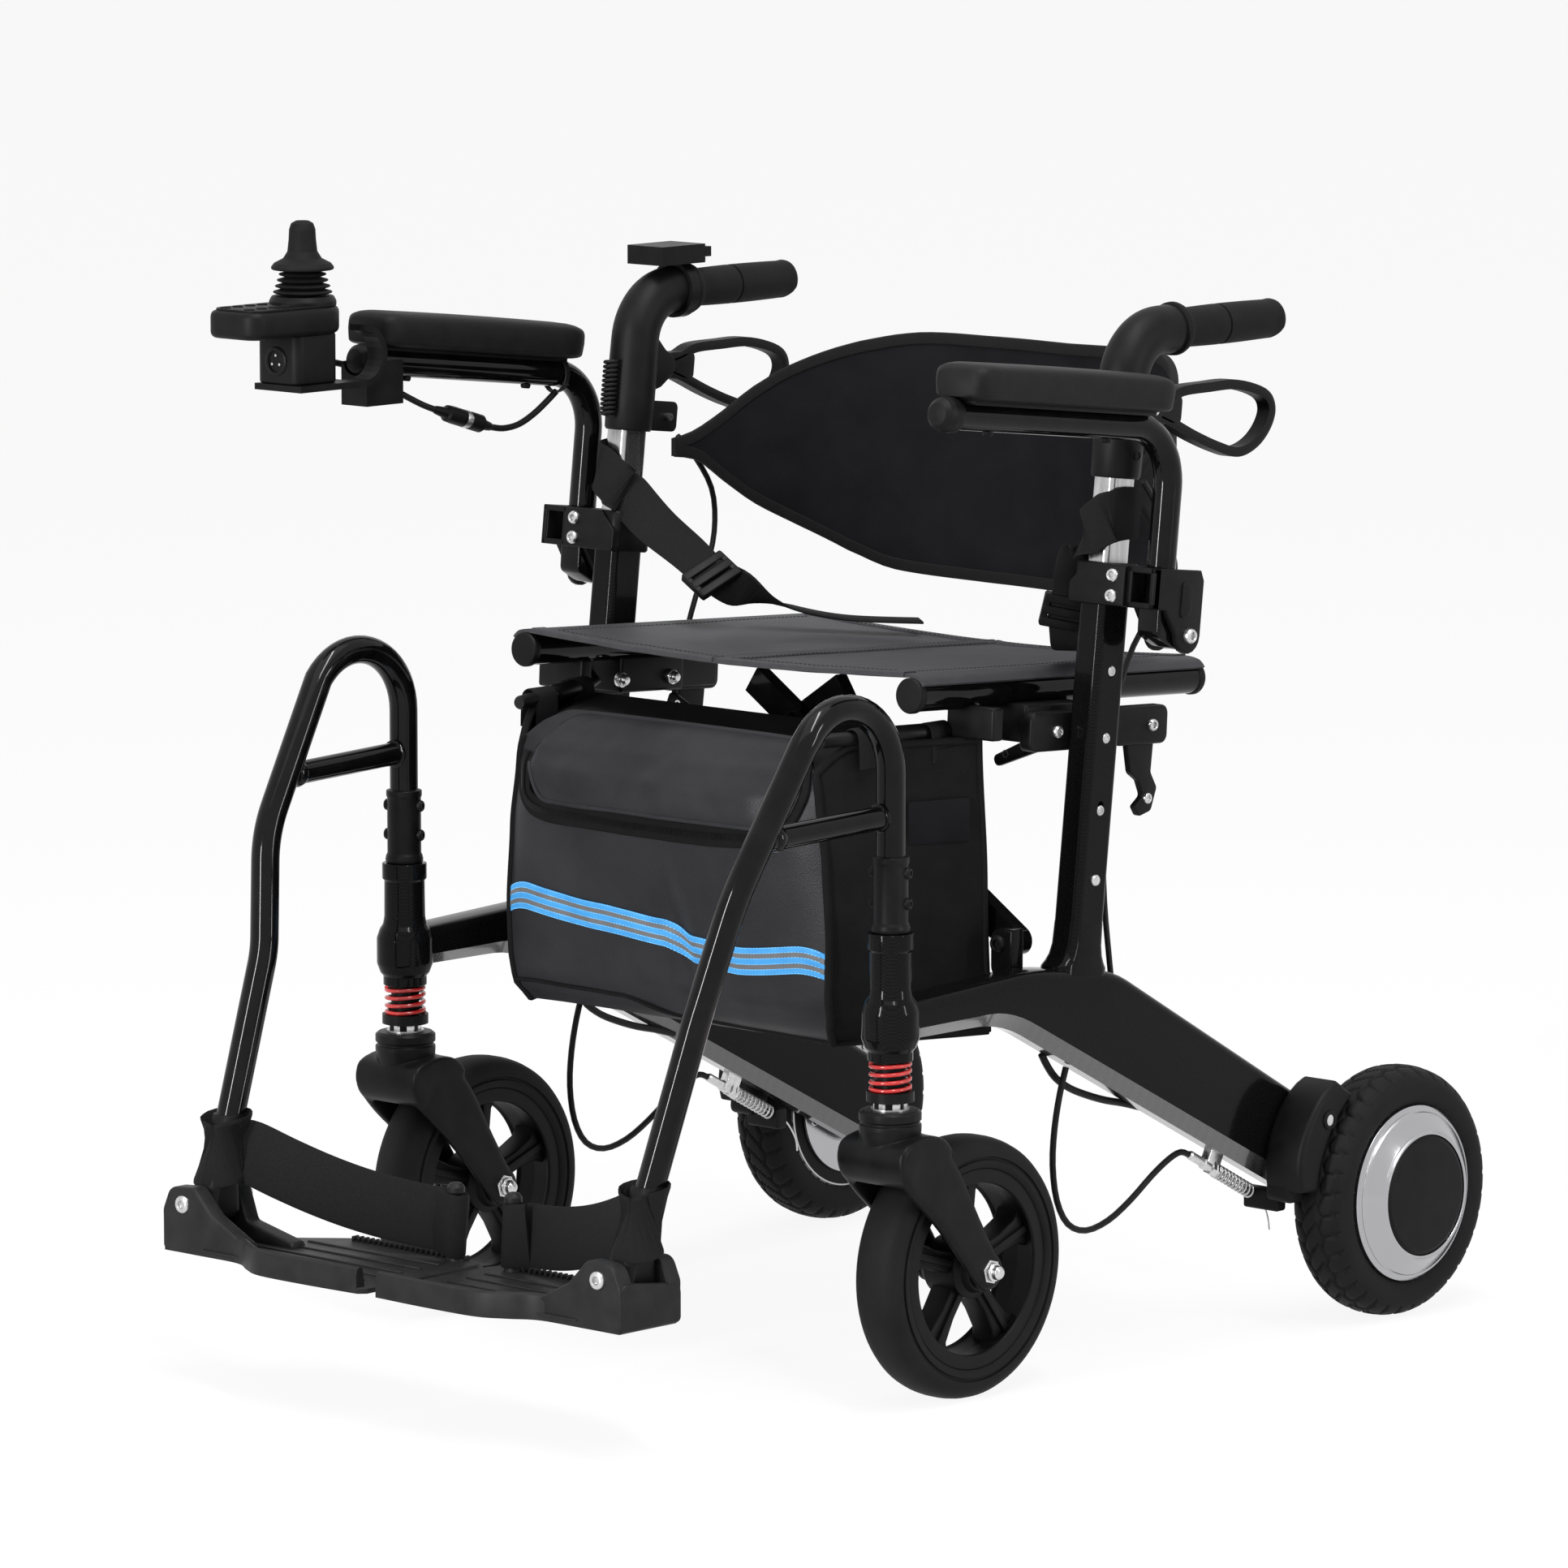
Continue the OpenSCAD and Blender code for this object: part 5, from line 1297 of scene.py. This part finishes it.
rings, low_edge, high_edge = [], [], []
for i in range(73):
    q = math.radians(BAND_SPAN) * (i / 36 - 1)
    low, high = (flowing_read(table, min(abs(math.degrees(q)), BAND_SPAN - 0.1)) for table in (BAND_LOW, BAND_HIGH))
    front, back = [], []
    for f in [k / 16 for k in range(17)]:
        z, puff = low + (high - low) * f, 1.8 * (1 - (2 * f - 1) ** 6)
        front.append(on_band(q, BAND_R - 4.2 - puff, z))
        back.append(on_band(q, BAND_R - 2.6 + puff * 0.6, z))
    rings.append(front + back[::-1])
    low_edge.append(on_band(q, BAND_R - 3.4, low))
    high_edge.append(on_band(q, BAND_R - 3.4, high))
skin(rings)
piece("back_band", BACK_CLOTH, "right_handle", "backrest", 60, band_hold)
for edge, way in ((low_edge, 1), (high_edge, -1)):
    rings = []
    for p in edge:
        out = Vector((p.x, p.y - (BAND_Y + HEAD_Y) * MM, 0)).normalized()
        rings.append([p + out * ((a - 0.2) * MM) + Z * (way * b * MM) for a, b in BAND_HEM])
    skin(rings)
for i in (0, -1):
    tube([low_edge[i], low_edge[i].lerp(high_edge[i], 0.5), high_edge[i]], 2.6, 10)
piece("back_binding", WEBBING, "right_handle", hold=band_hold)

# Bag under the seat: lofted shell with a bellied front, flap pocket, stripe, piping and tabs

BAG_LOW, BAG_HIGH, BAG_BACK_W = 262, 490, 212
HALF_WIDTH = [(262, 158), (280, 165), (340, 167), (400, 163), (450, 156), (490, 148)]
BELLY = [(262, 46), (272, 33), (292, 23), (335, 17), (390, 11), (428, 8), (448, 12), (465, 25), (480, 44), (490, 60)]
SIDE_EDGE = [(262, 42), (276, 32), (300, 28), (466, 28), (480, 33), (490, 42)]
STRIPE = [(-160, 348), (-60, 339.5), (6, 334), (36, 324), (84, 320.6), (163, 329)]
BACK_EDGE = [(262, 165), (376, 157), (490, 147)]
bag_hold = squashed("fold", (1, 0, 0), at(-COLUMN_X, 80, 380), 0.365)


def bag_piece(name, mat, replaces=None, sharp=35, slot=None):
    piece("bag_" + name, mat, "right_frame", replaces, sharp, bag_hold, slot)


def bag_front(u, v, lift=0.0):
    """A point of the bag's front panel: u from -1 to 1 across, v from 0 at the bottom to 1 at the top."""
    top = BAG_HIGH - 22 * (max(0, abs(u) - 0.82) / 0.18) ** 2
    z = BAG_LOW + (top - BAG_LOW) * v
    x = u * along(HALF_WIDTH, z)
    e = 1 - abs(u) ** 5
    folds = 2.2 * noise.noise(Vector((u * 2.3, v * 3.1, 1.7))) + 1.4 * noise.noise(Vector((u * 6, v * 5, 4.2)))
    tuck = 4.5 * math.exp(-((x - 22 - (335 - z) * 0.2) / 10) ** 2) * math.exp(-((z - 335) / 55) ** 2)
    return at(x, along(BELLY, z) * e + along(SIDE_EDGE, z) * (1 - e) - folds * e + tuck - lift, z)


def bag_normal(u, v):
    """The direction in which the bag's front faces."""
    d = 0.01
    across = bag_front(u + d, v) - bag_front(u - d, v)
    return across.cross(bag_front(u, v + d) - bag_front(u, v - d)).normalized()


def bag_side(s, f, v):
    """A point of a side panel: f from its front seam to its back edge, v from the bottom to the top."""
    z = BAG_LOW + (BAG_HIGH - 2 - 20 * (1 - math.sin(min(f / 0.25, 1) * math.pi / 2)) - BAG_LOW) * v
    q = bag_front(s, v).lerp(at(s * (BAG_BACK_W - 6 * (1 - v)), along(BACK_EDGE, z), z), f)
    q.z = z * MM
    swell = 4 * math.sin(math.pi * v) + 1.8 * noise.noise(Vector((f * 3, v * 4, 7 * s)))
    q.x += s * MM * math.sin(math.pi * f) * swell
    return q


BAG_ROWS, BAG_COLS = 40, 56
skin([[bag_front(-1 + 2 * i / BAG_COLS, j / BAG_ROWS) for i in range(BAG_COLS + 1)] for j in range(BAG_ROWS + 1)],
     closed=False)
bag_piece("front_panel", BAG_SKIN, "bag", 60)
rings = []
for v in [j / BAG_ROWS for j in range(BAG_ROWS + 1)]:
    left, right = ([bag_side(s, i / 16, v) for i in range(17)] for s in (1, -1))
    back = [left[-1].lerp(right[-1], i / 12) + Y * (0.003 * math.sin(math.pi * i / 12) * (1 - v)) for i in range(1, 12)]
    rings.append(left + back + right[::-1])
skin(rings, closed=False)
for v, drop in ((0, -2), (1, 9)):
    front = [bag_front(-1 + 2 * i / 20, v) for i in range(21)]
    back = [bag_side(-1, 1, v).lerp(bag_side(1, 1, v), i / 20) for i in range(21)]
    rows = []
    for f in [k / 8 for k in range(9)]:
        dip = Z * (MM * drop * math.sin(math.pi * f))
        rows.append([a.lerp(b, f) - dip * math.sin(math.pi * min(max(i / 20, 0.04), 0.96))
                     for i, (a, b) in enumerate(zip(front, back))])
    skin(rows, closed=False)
bag_piece("sides", BAG_CLOTH, sharp=60)
for s in (1, -1):
    tube([bag_front(s, j / 30, -0.6) for j in range(31)] + [bag_side(s, i / 40, 1) for i in range(2, 41)], 3.1, 10)
    tube([bag_side(s, 1, j / 30) for j in range(31)], 2.4, 10)
    tube([bag_side(s, i / 20, 0) for i in range(21)], 2.4, 10)
LOW_SEAM = [(-1, 0.075), (-0.3, 0.068), (0.02, 0.02), (1, 0.004)]
tube([bag_front(u, along(LOW_SEAM, u), 0.5) for u in [-1 + i / 30 for i in range(61)]], 1.7, 10)
bag_piece("piping", BAG_CLOTH)


def patch(name, reach, v_low, v_high, mat, lift, thick, nu, nv):
    """A sewn-on piece that follows the bag's front; v_low and v_high give its edges for each u, lift(i, k) its rise."""
    grid = []
    for i in range(nu + 1):
        u = -reach + 2 * reach * i / nu
        a, b = v_low(u), v_high(u)
        vs = [a + (b - a) * k / nv for k in range(nv + 1)]
        front = [bag_front(u, v, lift(i / nu, k / nv)) for k, v in enumerate(vs)]
        grid.append(front + [bag_front(u, v, -thick) for v in reversed(vs)])
    skin(grid)
    bag_piece(name, mat, sharp=60)


# A tape's width as a share of the bag's height, the bag's half width at the stripe, and how far across they reach
TAPE_V, STRIPE_HALF_W = 0.0186, 166
STRIPE_REACH, FLAP_REACH = 0.985, 0.86


def stripe(u, tapes):
    """The height of the stripe's middle line, moved up by a number of tapes."""
    return (along(STRIPE, u * STRIPE_HALF_W) - BAG_LOW) / (BAG_HIGH - BAG_LOW) + tapes * TAPE_V


for k, mat in enumerate((BLUE, SILVER_TAPE, BLUE, SILVER_TAPE, BLUE)):
    patch("stripe_%d" % k, STRIPE_REACH, lambda u: stripe(u, k - 2.5), lambda u: stripe(u, k - 1.5), mat,
          lambda i, f: 1.0 + 0.35 * (k % 2), 0.6, 72, 3)
us = [-0.97 + 1.94 * i / 110 for i in range(111)]
for tapes in (-2.42, -1.5, -0.5, 0.5, 1.5, 2.42):
    for a, b in zip(us, us[1:]):
        tube([bag_front(u, stripe(u, tapes), 1.5) for u in [a + (b - a) * f for f in (0, 0.35, 0.7)]], 0.38, 5)
bag_piece("stripe_stitches", PALE_THREAD)


def flap_low(u):
    return 0.712 + 0.12 * (max(0, abs(u) - 0.66) / 0.2) ** 2


def flap_high(u):
    return 0.992 - 0.1 * (max(0, abs(u) - 0.74) / 0.12) ** 2


def flap_rise(i, k):
    rim = math.sin(math.pi * min(max(i, 0), 1)) ** 0.3
    fold = 2.4 * noise.noise(Vector((i * 6, k * 2.2, 9.1))) + 1.3 * noise.noise(Vector((i * 13, k * 4, 3.3)))
    return 3.6 + (5.5 * math.sin(math.pi * (0.12 + 0.8 * k)) + fold) * rim


patch("flap", FLAP_REACH, flap_low, flap_high, BAG_SKIN, flap_rise, 0.5, 64, 18)
ZIP = [(-0.9, 0.88), (-0.895, 0.8), (-0.84, 0.715), (-0.7, 0.682), (-0.4, 0.676), (0, 0.672), (0.4, 0.674),
       (0.68, 0.69), (0.82, 0.735), (0.895, 0.83), (0.92, 0.92), (0.915, 0.985)]
zip_uv = [(p.x, p.y) for p in flowing([Vector((u, v, 0)) for u, v in ZIP], 12)]
line = [bag_front(u, v, 2.4) for u, v in zip_uv]
across = [bag_normal(u, v).cross(t) for (u, v), (_, t, _, _) in zip(zip_uv, carried(line, Z))]
strap(line, 17, 1.8, across)
bag_piece("zip_tape", BAG_CLOTH)
for p, b, a, uv in zip(line, line[1:] + line[-1:], across, zip_uv):
    out = bag_normal(*uv) * 0.0014
    for f in (0, 0.33, 0.66):
        q = p.lerp(b, f) + out
        tube([q - a * 0.0024, q + out * 0.35, q + a * 0.0024], 0.55, 5)
bag_piece("zip_teeth", PLASTIC_DARK)
rim = [i / 80 for i in range(81)]
tube([bag_front(u, flap_low(u) + 0.004, flap_rise(i, 0.02)) for i, u in [(i, FLAP_REACH * (2 * i - 1)) for i in rim]],
     1.7, 8)
bag_piece("flap_rim", BAG_SKIN)
for s in (1, -1):
    strap([bag_side(s, f, 0.735) + X * (s * 0.0016) for f in (0.5, 0.58, 0.66, 0.74, 0.82, 0.9)], 33, 2.2, Z)
bag_piece("tabs", BACK_CLOTH, slot="webbing")
LOOP = [(9, -22), (8.4, -8), (6.6, 4), (0, 7.4), (-6.6, 4), (-8, -8), (-7, -22)]
for s in (1, -1):
    for f in (0.3, 0.85):
        start, end = bag_rod(s)
        strap(flowing([start.lerp(end, f) + Vector((s * a, 0, b)) * MM for a, b in LOOP], 4), 24, 1.6, Y)
bag_piece("loops", WEBBING)

# Seat belt: a sleeve round each handle tube, a slider and a strap down to the seat

BELT_W = 40
BELT_WRAP = [(267, 17, 346), (267.5, 4, 346), (266.5, -13, 343), (262, -17.4, 340), (248, -17.6, 331), (242, -15, 326),
             (238, -8, 320)]


def belt(side, tail, end, flat_end):
    """The strap of one side: tail goes from its slider to the seat, and the width turns to end, then flat_end."""
    tail = [at(*p) for p in tail]
    slider = tail[0]
    path = [side.leaned(*p) for p in BELT_WRAP]
    path = flowing(path + [path[-1].lerp(slider, 0.35) - Y * 0.004, path[-1].lerp(slider, 0.72), slider], 6)
    n = len(path)
    ease = [max(0, k / n - 0.45) / 0.55 for k in range(n)]
    turn = [((Z + Y * 0.12) * (1 - e) + end * e).normalized() for e in ease]
    strap(path, [BELT_W - 9 * (k / n) ** 2 for k in range(n)], 3, turn)
    tail = flowing(tail, 8)
    ease = [min(1, 2 * k / len(tail)) for k in range(len(tail))]
    strap(tail, 31, 2, [(turn[-1] * (1 - e) + flat_end * e).normalized() for e in ease])
    # The left strap stands for the whole CAD belt
    obj = piece(side.node("belt"), WEBBING, None, "seat_belt" if side is LEFT else None, hold=with_seat(side))
    run(path + tail)
    side.node("handle_tube")
    last = (slider - path[-8]).normalized()
    width = (turn[-1] - last * turn[-1].dot(last)).normalized()
    thick = last.cross(width)

    def place(i, j, k):
        return slider + (last * i + width * j + thick * k) * MM

    for a in (-10, 0, 10):
        block(place, (a - 3.6, -20, -3.6), (a + 3.6, 20, 3.6), 1)
    for b in (-18, 18):
        block(place, (-13, b - 2.6, -3.2), (13, b + 2.6, 3.2), 1)
    side.piece("belt_slider", PLASTIC_DARK, None, hold=with_seat(side))


belt(LEFT, [(219, 241, 577), (217, 245, 562), (213, 251, 551), (206, 262, 545.5), (194, 284, 543)],
     X * 0.74 + Y * 0.68, X * 0.8 + Y * 0.6)
belt(RIGHT, [(-156, 246, 574), (-141, 270, 560), (-122, 300, 547), (-96, 338, 537), (-58, 384, 533.5)],
     Z * 0.55 + Y * 0.85, X * 0.75 - Y * 0.65)

# Joystick controller

SHELL_R = 28
SOCKET = (0, -29, 758)
BUTTON_Z = 800.6


def stick(x, y, z):
    """A point given from the joystick's middle line."""
    return at(STICK_X + x, STICK_Y + y, z)


shell = arc(0, 0, SHELL_R, range(0, 181, 10))
shell += corners([(-SHELL_R, 0), (-SHELL_R, -80), (SHELL_R, -80), (SHELL_R, 0)], [0, 14, 14, 0])[1:-1]
plate(shell, stick, 778, 799.5, 5, 4)
plate([(x * 0.9, -38 + (y + 38) * 0.9) for x, y in shell], stick, 799, 801, 0.8, 2)
plate(rrect(46, 46, 8), lambda x, y, z: stick(x, y - 6, z), 740, 779, 2)
lathe([(10, 799), (26, 799), (26, 803), (24, 806.8), (10, 806.8)], stick(0, 0, 0), Z, 40, 1)
piece("controller_shell", PLASTIC, "right_armrest", "controller")
lathe([(0, -1), (8.2, -1), (8.2, 1.2), (10, 1.4), (11.4, 0.8), (11.6, -2)], stick(*SOCKET), -Y, 32, 0.5)
piece("charger_socket", PLASTIC_DARK, "right_armrest")
for x, z in arc(0, 0, 4.6, (90, 210, 330)):
    lathe([(0, -1), (1.1, -1), (1.1, 0.9), (0, 1.2)], stick(*SOCKET) + Vector((x, 0, z)) * MM, -Y, 10)
piece("charger_pins", NICKEL, "right_armrest")
for k in range(4):
    for x in (13, -13):
        lathe([(0, 0), (4.2, 0), (4.2, 1.0), (3.6, 1.4), (0, 1.5)], stick(x, -70 + k * 13, BUTTON_Z), Z, 20)
piece("controller_buttons", RUBBER, "right_armrest")
lathe([(3.4, 796), (3.4, 826), (20, 826.4), (24, 827), (24.4, 829), (22, 832), (15, 835.6), (11.6, 841), (10.6, 850),
       (10.2, 858), (8.6, 862.6), (5, 864.6), (0, 865)], stick(0, 0, 0), Z, 48, 2)
piece("joystick_knob", RUBBER, "joystick", "joystick", 60)
# The boot in two halves: the lower one by the fore-and-aft joint, the upper one by the sideways joint
BOOT_LOW, BOOT_RISE, BOOT_IN = 807.4, 9.1, 11
for half, (name, low, high, replaces) in enumerate((("low", "right_armrest", "joystick_gimbal", "joystick_boot"),
                                                    ("high", "joystick_gimbal", "joystick", None))):
    base = BOOT_LOW + half * BOOT_RISE
    ribs = [(BOOT_IN, base)]
    for k in range(2):
        z, r = base + k * BOOT_RISE / 2, 23 - (2 * half + k) * 1.5
        ribs += [(r - 5, z + 0.1), (r - 0.6, z + 1.6), (r, z + 2.3), (r - 0.6, z + 3), (r - 5.5, z + 4.4)]
    lathe(ribs + [(BOOT_IN, base + BOOT_RISE)], stick(0, 0, 0), Z, 44)
    piece("joystick_bellows_" + name, RUBBER, None, replaces, 60,
          blended(low, high, stick(0, 0, base), stick(0, 0, base + BOOT_RISE)))
dress("controller_mount", SATIN, 1.0)
dress("attendant_box", PLASTIC_DARK, 1.5)
dress("attendant_lever", PLASTIC_DARK, 1.0)

# Curly cord on the right handle
CURL_D = 2.9
curl = coil(leaned(-COLUMN_X, -24.3, HOUSE_LOW + 9), leaned(0, 0, 1) - leaned(0, 0, 0), 12, 5, 47, CURL_D, 16, False)
obj = piece("curly_cord_coil", CABLE, "right_handle", "curly_cord")
tuple(curl[0])
run(curl)
[tuple(p) for p in curl]
